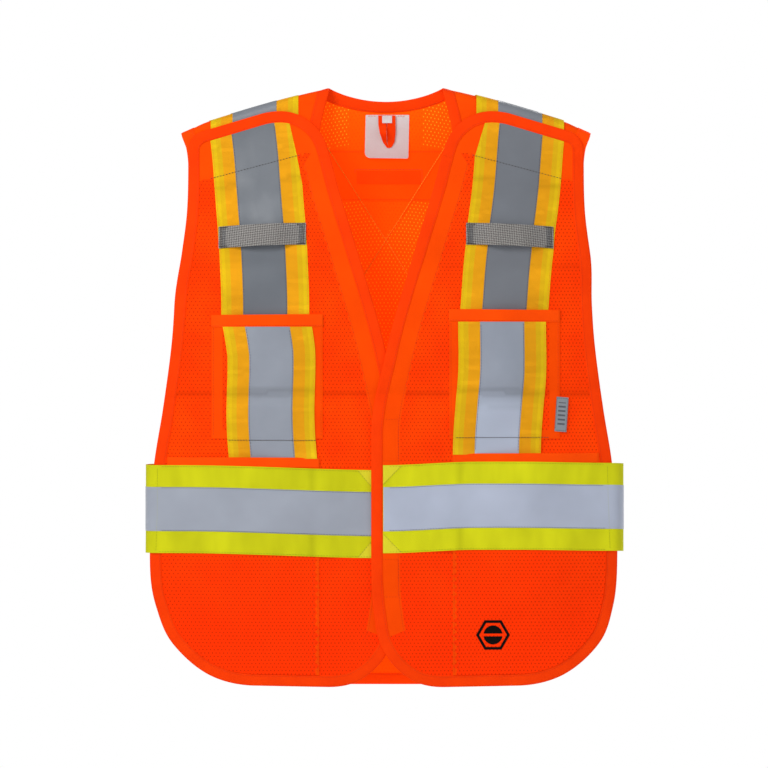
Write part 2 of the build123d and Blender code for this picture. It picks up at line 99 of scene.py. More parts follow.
# ---- sizes of the looks only --------------------------------------------------------------
LEFT_FLARE = 5.5          # the left front's side stands out this much below the waist tape
SILVER_RISE = 0.48        # a silver strip's middle above its backing's
BINDING_SEAM = 10.8       # the bindings' stitching from the cloth's edge
FACING = 32.5             # inner edge of the neck facing from the front's edge
CELL = 5.0                # size of the cloth's triangles
POINT_STEP = 3.0          # distance between the points of an edge
HOLE_CELL = (4.36, 7.96)  # one repeat of the mesh cloth: a hole in its corner and one in its middle
HOLE_RADIUS = 0.68
STITCH = (3.3, 2.5, 0.24)  # pitch, length and radius of one stitch
STRAP_TILT = 0.043        # fall of the mic straps towards the armholes
SHOULDER_DROOP = 4.0      # fall of the shoulders' tips below their straight slope
SIDE_SWAY = -3.3          # how far the vest's sides hang to the left above the waist
RUN_STEPS, TURN_STEPS, TAB_STEPS = 88, 10, 18  # points along a waist tape's run, half turn and tab
SIDES = {"left": -1, "right": 1}


# ---- base surface -------------------------------------------------------------------------
def smooth(value):
    """0 up to 0, 1 from 1, with a soft step between."""
    value = np.clip(value, 0.0, 1.0)
    return value * value * (3 - 2 * value)


def shoulder_z(x):
    """Top of the shoulders: sloping to both sides, with a rounded middle and drooping tips."""
    slope = 6.9 - 0.35 * (np.sqrt(x * x + 100.0**2) - 100.0)
    return slope - SHOULDER_DROOP * smooth((np.abs(x) - 205.0) / 34.0)


def fold_z(x):
    """Height of the axis that the back folds over at the shoulders."""
    return shoulder_z(x) - FOLD_RADIUS


def depth(x, z):
    """Distance of the base surface from the middle plane: deep in the middle, shallow at the sides."""
    side = 1 - SIDE_LOSS * (np.abs(x) / SIDE_X) ** SIDE_POWER
    return FOLD_RADIUS + BODY_DEPTH * side * smooth((fold_z(x) - z) / DEPTH_RAMP)


def overlap_lift(x, z):
    """Share of the right front's lift over the left one."""
    return smooth((140.0 - x) / 120.0) * smooth((-200.0 - z) / 100.0)


def pouch(x, z, x_range, low, reach):
    """Bulge of a pocket, gone at its sides and foot."""
    along = np.sin(np.pi * np.clip((x - x_range[0]) / (x_range[1] - x_range[0]), 0, 1)) ** 2
    return POCKET_POUCH * along * smooth((z - low) / reach)


def chest_pouch(x, z):
    return pouch(x, z, CHEST_POCKET_X, -402.0, 100.0)


def lower_pouch(x, z):
    return pouch(x, z, LOWER_POCKET_X, -674.0, 110.0)


# ---- how the cloth lies: soft waves and packing creases -----------------------------------
def wave_set(seed, count, shortest, longest):
    """Plane waves in random directions, all with the same share of the height."""
    dice = np.random.default_rng(seed)
    lengths = dice.uniform(shortest, longest, count)
    angles = dice.uniform(0, np.pi, count)
    phases = dice.uniform(0, 2 * np.pi, count)
    turns = 2 * np.pi / lengths
    return turns * np.cos(angles), turns * np.sin(angles), phases


def waves(x, z, made):
    """Height of a set of waves, about 1 at its highest."""
    along_x, along_z, phases = made
    total = sum(np.sin(x * a + z * b + c) for a, b, c in zip(along_x, along_z, phases))
    return total / math.sqrt(len(phases))


LONG_WAVES = wave_set(11, 9, 95.0, 190.0)
SHORT_WAVES = wave_set(23, 12, 34.0, 70.0)
BACK_WAVES = wave_set(37, 9, 90.0, 200.0)
BACK_RIPPLES = wave_set(41, 12, 36.0, 75.0)


# Level at the centre line, lean, height and width of each fold line across the fronts.
CREASES = [(-354.5, -0.02, -3.4, 7.0), (-372.0, 0.03, 0.9, 14.0), (-207.0, 0.02, -1.0, 13.0),
           (-585.0, -0.10, -1.1, 16.0), (-633.0, 0.12, 0.9, 18.0)]


def crease(distance, height, width):
    """A soft-edged fold line: highest on the line, gone a few widths away."""
    return height * np.exp(-np.sqrt(distance**2 + 1.5**2) / width)


def packing_creases(x, z):
    """Folds left by packing: across the chest, above the waist and down each front."""
    total = sum(crease(z - level + lean * x, height, width) for level, lean, height, width in CREASES)
    total = total + crease(z + 118.0 - 0.03 * np.abs(x), -0.7, 12.0)
    return total + crease(np.abs(x) - 176.0 - 0.05 * z, -0.7, 15.0) * smooth((-520.0 - z) / 60.0)


def front_wave(x, z):
    """Outward stand of both fronts, by the vest's own x so that the overlap stays parallel."""
    fade = smooth((-62.0 - z) / 90.0)
    lie = 1.3 * waves(x, z, LONG_WAVES) + 0.42 * waves(x, z, SHORT_WAVES)
    return fade * (lie + packing_creases(x, z))


def back_wave(x, z):
    """Backward stand of the back: its own waves, one fold across and one down the middle."""
    fade = smooth((-85.0 - z) / 90.0)
    lie = 1.6 * waves(x, z, BACK_WAVES) + 0.35 * waves(x, z, BACK_RIPPLES)
    return fade * (lie + crease(z + 352.0, 1.8, 10.0) + crease(x - 6.0, -1.2, 12.0))


def sway(x, z):
    """The sides of the whole vest hang a little to the left between the armholes and the waist."""
    down = smooth((-190.0 - z) / 60.0) * smooth((z + 560.0) / 130.0)
    return SIDE_SWAY * smooth((np.abs(x) - 190.0) / 50.0) * down


# ---- placing cuttings on the vest ---------------------------------------------------------
def front_place(side, bulge=None):
    """Maps a front's cutting (drawn for the right front) and an offset to points of the vest."""
    lift = OVERLAP_LIFT if side > 0 else 0.0

    def place(x, z, off):
        if bulge is not None:
            off = off + bulge(x, z)
        out = depth(x, z) + FRONT_GAP + lift * overlap_lift(x, z) + off + front_wave(side * x, z)
        wide = smooth((x - 215.0) / 45.0) * np.exp(-(((z + 556.0) / 62.0) ** 2))
        x_flat = x + LEFT_FLARE * (side < 0) * wide
        return np.stack([side * x_flat + sway(side * x, z), -out, z + 0.0 * x], -1)

    return place


def back_place(x, along, off):
    """Maps the back's unfolded cloth to the vest: along is 0 on the shoulder fold, + behind."""
    quarter = FOLD_RADIUS * np.pi / 2
    angle = np.clip(along, -quarter, quarter) / FOLD_RADIUS
    leg = np.maximum(np.abs(along) - quarter, 0.0)
    z_leg = fold_z(x) - leg
    wave = np.where(along > 0, back_wave(x, z_leg), 0.0)
    y_leg = np.sign(along) * (depth(x, z_leg) + off + wave)
    y_arc = (FOLD_RADIUS + off) * np.sin(angle)
    z_arc = fold_z(x) + (FOLD_RADIUS + off) * np.cos(angle)
    hangs = leg > 0
    z = np.where(hangs, z_leg, z_arc)
    return np.stack([x + np.where(along > 0, sway(x, z), 0.0), np.where(hangs, y_leg, y_arc), z], -1)


def unfolded(points, behind=1):
    """Points (x, z) on the draped back as (x, along) on its unfolded cloth."""
    points = np.asarray(points, float)
    x, z = points[:, 0], points[:, 1]
    rise = np.clip((z - fold_z(x)) / FOLD_RADIUS, -1.0, 1.0)
    on_arc = FOLD_RADIUS * np.arccos(np.clip(rise, 0, 1))
    on_leg = FOLD_RADIUS * np.pi / 2 + fold_z(x) - z
    return np.stack([x, behind * np.where(z > fold_z(x), on_arc, on_leg)], -1)


def height_of(x, along):
    """z of a point of the unfolded back."""
    return back_place(x, along, 0.0)[..., 2]


# ---- outlines -----------------------------------------------------------------------------
def unit(vector):
    vector = np.asarray(vector, float)
    return vector / max(np.linalg.norm(vector), 1e-9)


def spline(points, start=None, end=None):
    """Points along a smooth curve through the given ones, with set directions at its ends."""
    points = np.asarray(points, float)
    spans = np.linalg.norm(np.diff(points, axis=0), axis=1)
    slopes = np.diff(points, axis=0) / spans[:, None]
    ways = np.empty_like(points)
    before, after = spans[:-1, None], spans[1:, None]
    ways[1:-1] = (after * slopes[:-1] + before * slopes[1:]) / (before + after)
    ways[0] = unit(start) if start is not None else slopes[0]
    ways[-1] = unit(end) if end is not None else slopes[-1]
    made = []
    for i, span in enumerate(spans):
        count = max(2, round(span / POINT_STEP))
        t = (np.arange(count) / count)[:, None]
        made.append((2 * t**3 - 3 * t**2 + 1) * points[i] + (t**3 - 2 * t**2 + t) * span * ways[i]
                    + (3 * t**2 - 2 * t**3) * points[i + 1] + (t**3 - t**2) * span * ways[i + 1])
    return np.concatenate([*made, points[-1:]])


def straight(points, step=POINT_STEP):
    """A run of straight lines divided into short spans."""
    points = np.asarray(points, float)
    made = []
    for a, b in zip(points, points[1:]):
        count = max(1, round(np.linalg.norm(b - a) / step))
        made.append(a + (b - a) * (np.arange(count) / count)[:, None])
    return np.concatenate([*made, points[-1:]])


def rounded(points, radii):
    """A run of straight lines with its inner corners rounded."""
    points = np.asarray(points, float)
    made = [points[0]]
    for i, radius in enumerate(radii, start=1):
        back, ahead = unit(points[i - 1] - points[i]), unit(points[i + 1] - points[i])
        half = math.acos(np.clip(back @ ahead, -1, 1)) / 2
        reach = radius / math.tan(half)
        middle = points[i] + unit(back + ahead) * radius / math.sin(half)
        first, last = points[i] + back * reach, points[i] + ahead * reach
        count = max(4, round(radius * (math.pi - 2 * half) / POINT_STEP))
        for t in np.linspace(0, 1, count + 1):
            arm = unit((1 - t) * (first - middle) + t * (last - middle))
            made.append(middle + arm * radius)
    made.append(points[-1])
    return straight(made)


def loop_through(points, step=4.0):
    """A closed loop of straight lines through corners, without its last point repeated."""
    return straight([*points, points[0]], step)[:-1]


def joined(*runs):
    """Runs of points one after another, without the repeats where they meet."""
    made = [runs[0]]
    for run in runs[1:]:
        made.append(run[1:] if np.linalg.norm(run[0] - made[-1][-1]) < 0.01 else run)
    return np.concatenate(made)


def box_loop(x_range, z_range, step=4.0):
    """A closed box."""
    (x0, x1), (z0, z1) = sorted(x_range), sorted(z_range)
    return loop_through([(x0, z0), (x1, z0), (x1, z1), (x0, z1)], step)


def inward(path, closed, turn=1):
    """Unit normals beside a path, to the right of its direction when turn is 1."""
    if closed:
        way = np.roll(path, -1, 0) - np.roll(path, 1, 0)
    else:
        way = np.gradient(path, axis=0)
    way = way / np.maximum(np.linalg.norm(way, axis=1), 1e-9)[:, None]
    return turn * np.stack([way[:, 1], -way[:, 0]], -1)


def lengths(path):
    """Distance along a path at each of its points."""
    return np.concatenate([[0.0], np.cumsum(np.linalg.norm(np.diff(path, axis=0), axis=1))])


def front_runs():
    """Edge of the right front, clockwise from the neck's top: shoulder, side, hem, centre, neck."""
    top = rounded([(66.0, -76.0), (81.5, -25.0), (136.0, -26.8), (228.5, -54.5), (228.5, -90.0)],
                  (56.0, 80.0, 23.0))
    side = spline([top[-1], (229.5, -140.0), (238.5, -215.0), (243.5, -290.0), (254.0, -370.0),
                   (265.0, -440.0), (267.5, -535.0), (262.5, -597.0), (249.5, -636.0),
                   (233.0, -656.0), (206.0, -676.5), (150.0, HEM_Z + 1.4)], (0, -1), (-1, 0))
    hem = straight([(150.0, HEM_Z + 1.4), (66.0, HEM_Z)])
    corner = spline([(66.0, HEM_Z), (38.0, -686.5), (14.0, -671.0), (-5.5, -643.0), (-13.6, -604.0),
                     (-16.5, -540.0)], (-1, 0), (0, 1))
    centre = straight([(-16.5, -540.0), (-16.5, -400.0)])
    neck = spline([(-16.5, -400.0), (0.0, -307.0), (36.0, -180.0), (57.0, -110.0), top[0]],
                  (0, 1), top[1] - top[0])
    return [top, side, hem, corner, centre, neck]


FRONT_RUNS = front_runs()
FRONT_EDGE = joined(*FRONT_RUNS)[:-1]
FRONT_NORMAL = inward(FRONT_EDGE, True)


def inset(distance):
    """The front's outline moved in; distance is one number or one for each point."""
    distance = np.broadcast_to(distance, (len(FRONT_EDGE),))
    return FRONT_EDGE + FRONT_NORMAL * distance[:, None]


def facing_window():
    """What is left of a front inside its binding and its neck facing."""
    edge = FRONT_EDGE
    to_neck = np.min(np.linalg.norm(edge[:, None] - FRONT_RUNS[5][None, ::4], axis=2), axis=1)
    by_centre = (edge[:, 0] < -8) & (edge[:, 1] > -650)
    share = np.maximum(smooth(1 - to_neck / 26.0), by_centre)
    return inset(BINDING + (FACING - BINDING) * share)


def half_back():
    """Right half of the unfolded back: back neck, flap's neck edge, flap's foot, armhole and hem."""
    middle = NECK_RADIUS - NECK_DROP
    xs = np.linspace(0, NECK_X, 26)
    bowl = np.stack([xs, middle - np.sqrt(NECK_RADIUS**2 - xs**2)], -1)
    neck = unfolded(bowl)
    flap_neck = unfolded(spline([(NECK_X, 0.0), (77.0, -47.0), (80.0, -74.0)]), -1)
    flap_neck[0] = neck[-1] * (1, 0)
    foot = unfolded(rounded([(80.0, -74.0), (103.0, -81.0), (200.0, -106.0), (214.0, -104.0),
                             (226.0, -84.0)], (10.0, 60.0, 12.0)), -1)
    flap_arm = unfolded(spline([(226.0, -84.0), (229.5, -72.0), (236.0, -55.0)]), -1)
    tip = straight([flap_arm[-1], (SHOULDER_TIP_X, 0.0)])
    arm = unfolded(spline([(SHOULDER_TIP_X, -46.0), (230.5, -72.0), (228.5, -110.0), (231.0, -160.0),
                           (237.5, -215.0), (242.5, -290.0), (253.0, -370.0), (263.5, -440.0),
                           (266.0, -535.0), (260.0, -600.0), (252.0, -628.0), (238.0, -650.0),
                           (218.0, -668.0), (190.0, -682.0), (150.0, BACK_HEM_Z)]))
    hem = unfolded(straight([(150.0, BACK_HEM_Z), (0.0, BACK_HEM_Z)]))
    arm[0] = tip[-1]
    return neck, flap_neck, foot, flap_arm, tip, arm, hem


def mirrored(path):
    """The other half of an edge, run backwards so that the two halves join up."""
    return (path * (-1, 1))[::-1]


def back_paths():
    """The unfolded back's outline, its neck edge and its armhole, side and hem edge."""
    neck, flap_neck, foot, flap_arm, tip, arm, hem = half_back()
    right = joined(neck, flap_neck, foot, flap_arm, tip, arm, hem)
    outline = joined(right, mirrored(right))[:-1]
    neck_edge = joined(mirrored(joined(neck, flap_neck)), joined(neck, flap_neck))
    rim = joined(flap_arm, tip, arm, hem)
    return outline, neck_edge, joined(rim, mirrored(rim))


# ---- meshes -------------------------------------------------------------------------------
def contains(loop, points):
    """Which points lie inside a closed loop."""
    x, y = points[:, 0, None], points[:, 1, None]
    x0, y0 = loop[:, 0], loop[:, 1]
    x1, y1 = np.roll(x0, -1), np.roll(y0, -1)
    rise = np.where(y1 == y0, 1e-9, y1 - y0)
    crosses = ((y0 > y) != (y1 > y)) & (x < x0 + (y - y0) * (x1 - x0) / rise)
    return crosses.sum(1) % 2 == 1


def far_from(points, marks, distance):
    """Which points are further than a distance from every mark."""
    keep = np.ones(len(points), bool)
    for start in range(0, len(points), 4000):
        part = points[start:start + 4000]
        gaps = np.linalg.norm(part[:, None] - marks[None], axis=2).min(1)
        keep[start:start + 4000] = gaps > distance
    return keep


def cutting(inside, outside=(), lines=(), cell=CELL):
    """Triangles of the plane region inside every loop of inside and outside every other loop."""
    loops = [np.asarray(loop, float) for loop in (*inside, *outside, *lines)]
    low, high = loops[0].min(0), loops[0].max(0)
    for loop in loops[1:len(inside)]:
        low, high = np.maximum(low, loop.min(0)), np.minimum(high, loop.max(0))
    rows = np.arange(low[1] + cell / 2, high[1], cell * 0.87)
    columns = np.arange(low[0] + cell / 2, high[0], cell)
    grid_x, grid_y = np.meshgrid(columns, rows)
    grid_x = grid_x + (np.arange(len(rows)) % 2)[:, None] * cell / 2
    grid = np.stack([grid_x.ravel(), grid_y.ravel()], -1)
    for loop in loops[:len(inside)]:
        grid = grid[contains(loop, grid)]
    for loop in loops[len(inside):len(inside) + len(outside)]:
        grid = grid[~contains(loop, grid)]
    grid = grid[far_from(grid, np.concatenate(loops), cell * 0.55)]
    points, edges = [], []
    for loop in loops:
        start = len(points)
        points.extend(loop.tolist())
        edges.extend((start + i, start + (i + 1) % len(loop)) for i in range(len(loop)))
    points.extend(grid.tolist())
    made = delaunay_2d_cdt([Vector(p) for p in points], edges, [], 0, 1e-3)
    flat = np.array([tuple(p) for p in made[0]])
    triangles = np.array([face for face in made[2] if len(face) == 3])
    centres = flat[triangles].mean(1)
    keep = np.ones(len(triangles), bool)
    for loop in loops[:len(inside)]:
        keep &= contains(loop, centres)
    for loop in loops[len(inside):len(inside) + len(outside)]:
        keep &= ~contains(loop, centres)
    triangles = triangles[keep]
    a, b, c = flat[triangles[:, 0]], flat[triangles[:, 1]], flat[triangles[:, 2]]
    turn = (b[:, 0] - a[:, 0]) * (c[:, 1] - a[:, 1]) - (b[:, 1] - a[:, 1]) * (c[:, 0] - a[:, 0])
    triangles[turn < 0] = triangles[turn < 0][:, ::-1]
    triangles = triangles[np.abs(turn) > 1e-4]
    used = np.unique(triangles)
    place_of = np.zeros(len(flat), int)
    place_of[used] = np.arange(len(used))
    return flat[used], place_of[triangles]


def make_mesh(name, points, faces, uvs, materials, index=None, sharp=None):
    """A Blender object of a closed surface through points in millimetres, turned to face outwards."""
    points = np.asarray(points, float)
    corners = np.array([(face[0], face[i], face[i + 1])
                        for face in faces for i in range(1, len(face) - 1)])
    a, b, c = (points[corners[:, i]] for i in range(3))
    if (a * np.cross(b, c)).sum() < 0:
        faces = [face[::-1] for face in faces]
    mesh = bpy.data.meshes.new(name)
    mesh.from_pydata((points * MM).tolist(), [], [list(map(int, face)) for face in faces])
    layer = mesh.uv_layers.new(name="cloth")
    corner = np.zeros(len(mesh.loops), int)
    mesh.loops.foreach_get("vertex_index", corner)
    layer.data.foreach_set("uv", np.asarray(uvs)[corner].astype(np.float32).ravel())
    for material in materials:
        mesh.materials.append(material)
    if index is not None:
        mesh.polygons.foreach_set("material_index", np.asarray(index, np.int32))
    mesh.polygons.foreach_set("use_smooth", np.ones(len(mesh.polygons), bool))
    if sharp is not None and len(sharp):
        ends = np.zeros(len(mesh.edges) * 2, int)
        mesh.edges.foreach_get("vertices", ends)
        ends = np.sort(ends.reshape(-1, 2), axis=1)
        codes = ends[:, 0] * len(points) + ends[:, 1]
        flag = mesh.attributes.new("sharp_edge", "BOOLEAN", "EDGE")
        flag.data.foreach_set("value", np.isin(codes, sharp))
    mesh.update()
    thing = bpy.data.objects.new(name, mesh)
    bpy.context.scene.collection.objects.link(thing)
    return thing


def rim_edges(faces):
    """Edges used by one face only, in that face's direction."""
    faces = np.asarray(faces)
    pairs = np.concatenate([np.stack([faces[:, i], faces[:, (i + 1) % faces.shape[1]]], -1)
                            for i in range(faces.shape[1])])
    ordered = np.sort(pairs, axis=1)
    _, first, uses = np.unique(ordered, axis=0, return_index=True, return_counts=True)
    return pairs[first[uses == 1]]


def shell(name, top, bottom, faces, uvs, materials, index=None, under=None):
    """A closed thin cloth between two placings of a cutting; under is the inner faces' materials."""
    faces = np.asarray(faces)
    count = len(top)
    rim = rim_edges(faces)
    walls = [(b, a, a + count, b + count) for a, b in rim]
    every = [*faces, *(faces[:, ::-1] + count), *walls]
    total = 2 * count
    ends = np.sort(rim, axis=1)
    sharp = np.concatenate([ends[:, 0] * total + ends[:, 1],
                            (ends[:, 0] + count) * total + ends[:, 1] + count])
    if index is not None:
        index = np.concatenate([index, index if under is None else under, np.zeros(len(walls), int)])
    return make_mesh(name, np.concatenate([top, bottom]), every, np.concatenate([uvs, uvs]),
                     materials, index, sharp)


def patch(name, place, off, thick, materials, inside, outside=(), lines=(), uv=None, pick=None,
          cell=CELL, strip=None, under=None):
    """Cuts a cloth in the plane and lays it on the vest; strip is the width of a ribbon's cut."""
    flat, triangles = cutting(inside, outside, lines, cell)
    top = place(flat[:, 0], flat[:, 1], off + thick / 2)
    bottom = place(flat[:, 0], flat[:, 1], off - thick / 2)
    uvs = flat if uv is None else uv(flat[:, 0], flat[:, 1])
    index = None
    if pick is not None:
        centres = flat[triangles].mean(1)
        index = pick(centres[:, 0], centres[:, 1]).astype(int)
        under = under(centres[:, 0], centres[:, 1]).astype(int) if under else None
    piece = shell(name, top, bottom, triangles, uvs, materials, index, under)
    a, b, c = flat[triangles[:, 0]], flat[triangles[:, 1]], flat[triangles[:, 2]]
    area = np.abs(np.cross(b - a, c - a)).sum() / 2
    width, length = (strip, area / strip) if strip else flat.max(0) - flat.min(0)
    piece["flat"] = [width * MM, length * MM, area * MM * MM]
    return piece


def sweep(name, path, place, profile, material, closed, turn=1, pucker=0.10):
    """A folded binding: the closed profile (distance in from the edge, offset) along an edge."""
    normals = inward(path, closed, turn)
    along = lengths(path)
    rows, uvs = [], []
    around = lengths(np.array([*profile, profile[0]]))
    for k, (distance, off) in enumerate(profile):
        puff = pucker * np.sin(along / 7.3 + 1.7 * np.sin(along / 23.0)) * (off > 1.0) * (distance > 1)
        spot = path + normals * (distance + 0.35 * np.sin(along / 41.0))[:, None] * (distance > 0) \
            + normals * distance * (distance <= 0)
        rows.append(place(spot[:, 0], spot[:, 1], off + puff))
        uvs.append(np.stack([along, np.full(len(path), around[k])], -1))
    count, ring = len(path), len(profile)
    points, uvs = np.stack(rows, 1).reshape(-1, 3), np.stack(uvs, 1).reshape(-1, 2)
    faces = []
    for i in range(count if closed else count - 1):
        ahead = (i + 1) % count
        for k in range(ring):
            after = (k + 1) % ring
            faces.append((i * ring + k, i * ring + after, ahead * ring + after, ahead * ring + k))
    if not closed:
        faces += [list(range(ring))[::-1], [(count - 1) * ring + k for k in range(ring)]]
    piece = make_mesh(name, points, faces, uvs, [material])
    width = (around[-1] / 2 + 0.5) * MM
    piece["flat"] = [width, along[-1] * MM, width * along[-1] * MM]
    return piece


def grid_shell(name, top, bottom, uvs, materials):
    """A closed thin cloth over two grids of points of the same size."""
    rows, columns = top.shape[:2]
    spots = np.arange(rows * columns).reshape(rows, columns)
    faces = np.stack([spots[:-1, :-1], spots[:-1, 1:], spots[1:, 1:], spots[1:, :-1]], -1)
    faces = faces.reshape(-1, 4)
    piece = shell(name, top.reshape(-1, 3), bottom.reshape(-1, 3), faces, uvs.reshape(-1, 2), materials)
    length, width = uvs.reshape(-1, 2).max(0) - uvs.reshape(-1, 2).min(0)
    piece["flat"] = [width * MM, length * MM, width * length * MM * MM]
    return piece


class Threads:
    """Collects stitches and makes them one piece for each body and thread."""

    def __init__(self):
        self.runs = {}

    def sew(self, body, material, points, up, pitch=STITCH[0], length=STITCH[1], radius=STITCH[2]):
        """A row of stitches along points in millimetres; up points out of the cloth."""
        points = np.asarray(points, float)
        along = lengths(points)
        starts = np.arange(pitch * 0.3, along[-1] - length, pitch)
        if not len(starts):
            return
        marks = starts[:, None] + length * np.array([0.0, 0.22, 0.78, 1.0])  # four rings a stitch
        spots = np.stack([np.interp(marks, along, points[:, i]) for i in range(3)], -1)
        way = spots[:, 3] - spots[:, 0]
        way /= np.maximum(np.linalg.norm(way, axis=1), 1e-9)[:, None]
        up = np.broadcast_to(np.asarray(up, float), way.shape)
        across = np.cross(way, up)
        across /= np.maximum(np.linalg.norm(across, axis=1), 1e-9)[:, None]
        rise = np.array([-0.15, 0.85, 0.85, -0.15]) * radius
        spots = spots + up[:, None] * rise[None, :, None]
        turns = np.arange(5) * 2 * np.pi / 5
        girth = np.array([0.45, 1.0, 1.0, 0.45]) * radius
        ring = (np.cos(turns)[None, None, :, None] * up[:, None, None]
                + np.sin(turns)[None, None, :, None] * across[:, None, None])
        made = spots[:, :, None] + ring * girth[None, :, None, None]
        self.runs.setdefault((body, material.name), []).append(made.reshape(-1, 20, 3))

    def finish(self):
        """Makes the collected stitches into pieces: each stitch has four rings of five points."""
        pattern = []
        for k in range(3):
            for i in range(5):
                j = (i + 1) % 5
                pattern.append((k * 5 + i, k * 5 + j, k * 5 + 5 + j, k * 5 + 5 + i))
        pattern = np.array(pattern)
        caps = np.array([[4, 3, 2, 1, 0], [15, 16, 17, 18, 19]])
        for (body, colour), runs in self.runs.items():
            stitches = np.concatenate(runs)
            starts = (np.arange(len(stitches)) * 20)[:, None, None]
            faces = [*(pattern + starts).reshape(-1, 4), *(caps + starts).reshape(-1, 5)]
            points = stitches.reshape(-1, 3)
            uvs = np.tile(np.stack([np.repeat(np.arange(4), 5), np.tile(np.arange(5), 4)], -1),
                          (len(stitches), 1))
            piece = make_mesh(f"stitching_{body}_{colour}", points, faces, uvs,
                              [bpy.data.materials[colour]])
            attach(piece, body)


threads = Threads()


def wear(piece, body, nodes, slot):
    """Ties a piece to its body and hides the CAD nodes it stands for; the piece's flat cut is read but
    not used.
    """
    if isinstance(body, str):
        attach(piece, body)
    else:
        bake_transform(piece)
    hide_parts(*nodes)
    width, length, area = piece["flat"]
    if min(width, length) >= 0.0102:
        min(max(area, 0.31 * width * length), width * length)
    return piece


# ---- materials ----------------------------------------------------------------------------
def linear(red, green, blue):
    """A colour given as 0 to 255 in sRGB, as the shader's linear values."""
    made = [c / 255 for c in (red, green, blue)]
    return tuple(c / 12.92 if c <= 0.04045 else ((c + 0.055) / 1.055) ** 2.4 for c in made)


# Painted shade of the packing folds: the line's v on the cloth, its reach and how dark it is.
MESH_FOLDS = ((-353.0, 6.0, 0.74), (-206.0, 7.0, 0.88))
TAPE_FOLD, SILVER_FOLD = (89.0, 6.0, 0.86), (89.0, 7.0, 0.8)
LOW_SHADE_RED = linear(229, 39, 2)  # painted shade: the mesh cloth's darker, redder tone below the waist tape, where the light falls off


class Nodes:
    """Short ways to add nodes to one material."""

    def __init__(self, name, roughness, glow=0.0, glow_colour=(1, 1, 1), specular=0.25):
        self.material = bpy.data.materials.new(name)
        self.material.use_nodes = True
        self.tree = self.material.node_tree
        self.shader = self.tree.nodes["Principled BSDF"]
        self.shader.inputs["Roughness"].default_value = roughness
        self.shader.inputs["Specular IOR Level"].default_value = specular
        if glow:
            self.shader.inputs["Emission Color"].default_value = (*glow_colour, 1)
            self.shader.inputs["Emission Strength"].default_value = glow
        uv = self.tree.nodes.new("ShaderNodeUVMap")
        uv.uv_map = "cloth"
        self.uv = uv.outputs["UV"]
        split = self.tree.nodes.new("ShaderNodeSeparateXYZ")
        self.tree.links.new(self.uv, split.inputs[0])
        self.u, self.v = split.outputs[0], split.outputs[1]

    def feed(self, socket, value):
        if isinstance(value, bpy.types.NodeSocket):
            self.tree.links.new(value, socket)
        elif value is not None:
            socket.default_value = value

    def math(self, operation, a, b=None, c=None):
        node = self.tree.nodes.new("ShaderNodeMath")
        node.operation = operation
        for socket, value in zip(node.inputs, (a, b, c)):
            self.feed(socket, value)
        return node.outputs[0]

    def times(self, a, b):
        return self.math("MULTIPLY", a, b)

    def plus(self, a, b):
        return self.math("ADD", a, b)

    def vector(self, operation, a, b=None):
        node = self.tree.nodes.new("ShaderNodeVectorMath")
        node.operation = operation
        self.feed(node.inputs[0], a)
        if b is not None:
            self.feed(node.inputs[3 if operation == "SCALE" else 1], b)
        return node.outputs["Value" if operation == "LENGTH" else "Vector"]

    def noise(self, scale, detail=2.0, stretch=(1, 1, 1)):
        place = self.vector("MULTIPLY", self.uv, stretch)
        node = self.tree.nodes.new("ShaderNodeTexNoise")
        self.feed(node.inputs["Vector"], place)
        node.inputs["Scale"].default_value = scale
        node.inputs["Detail"].default_value = detail
        return node.outputs["Fac"]

    def spread(self, value, low, high, to_low=0.0, to_high=1.0):
        node = self.tree.nodes.new("ShaderNodeMapRange")
        for index, entry in enumerate((value, low, high, to_low, to_high)):
            self.feed(node.inputs[index], entry)
        return node.outputs[0]

    def mix(self, share, first, second):
        node = self.tree.nodes.new("ShaderNodeMix")
        node.data_type = "RGBA"
        self.feed(node.inputs[0], share)
        for socket, colour in ((node.inputs[6], first), (node.inputs[7], second)):
            self.feed(socket, colour if isinstance(colour, bpy.types.NodeSocket) else (*colour, 1))
        return node.outputs[2]

    def folded(self, colour, line, reach, dark):
        """The colour darkened along a packing fold that crosses the cloth at v = line: painted shade of
        the fold.
        """
        gap = self.math("ABSOLUTE", self.math("SUBTRACT", self.v, line))
        return self.vector("SCALE", colour, self.spread(gap, 0.0, reach, dark, 1.0))

    def colour(self, value):
        self.feed(self.shader.inputs["Base Color"], value)

    def bump(self, height, distance, strength=1.0):
        node = self.tree.nodes.new("ShaderNodeBump")
        node.inputs["Strength"].default_value = strength
        node.inputs["Distance"].default_value = distance
        self.feed(node.inputs["Height"], height)
        self.feed(self.shader.inputs["Normal"], node.outputs["Normal"])

    def weave(self, across, along):
        """Plain weave: raised where the two sets of yarns cross, with that yarn width each way."""
        first = self.math("SINE", self.times(self.u, math.pi / across))
        second = self.math("SINE", self.times(self.v, math.pi / along))
        return self.times(first, second)


def tones(nodes, low, high, scale=0.02):
    """Cloth colour that drifts between two close tones, with a fine grain on top."""
    drift = nodes.spread(nodes.noise(scale, 3.0), 0.35, 0.65)
    fine = nodes.spread(nodes.noise(0.6, 1.0), 0.3, 0.7)
    share = nodes.plus(nodes.times(drift, 0.7), nodes.times(fine, 0.3))
    return nodes.mix(share, low, high)


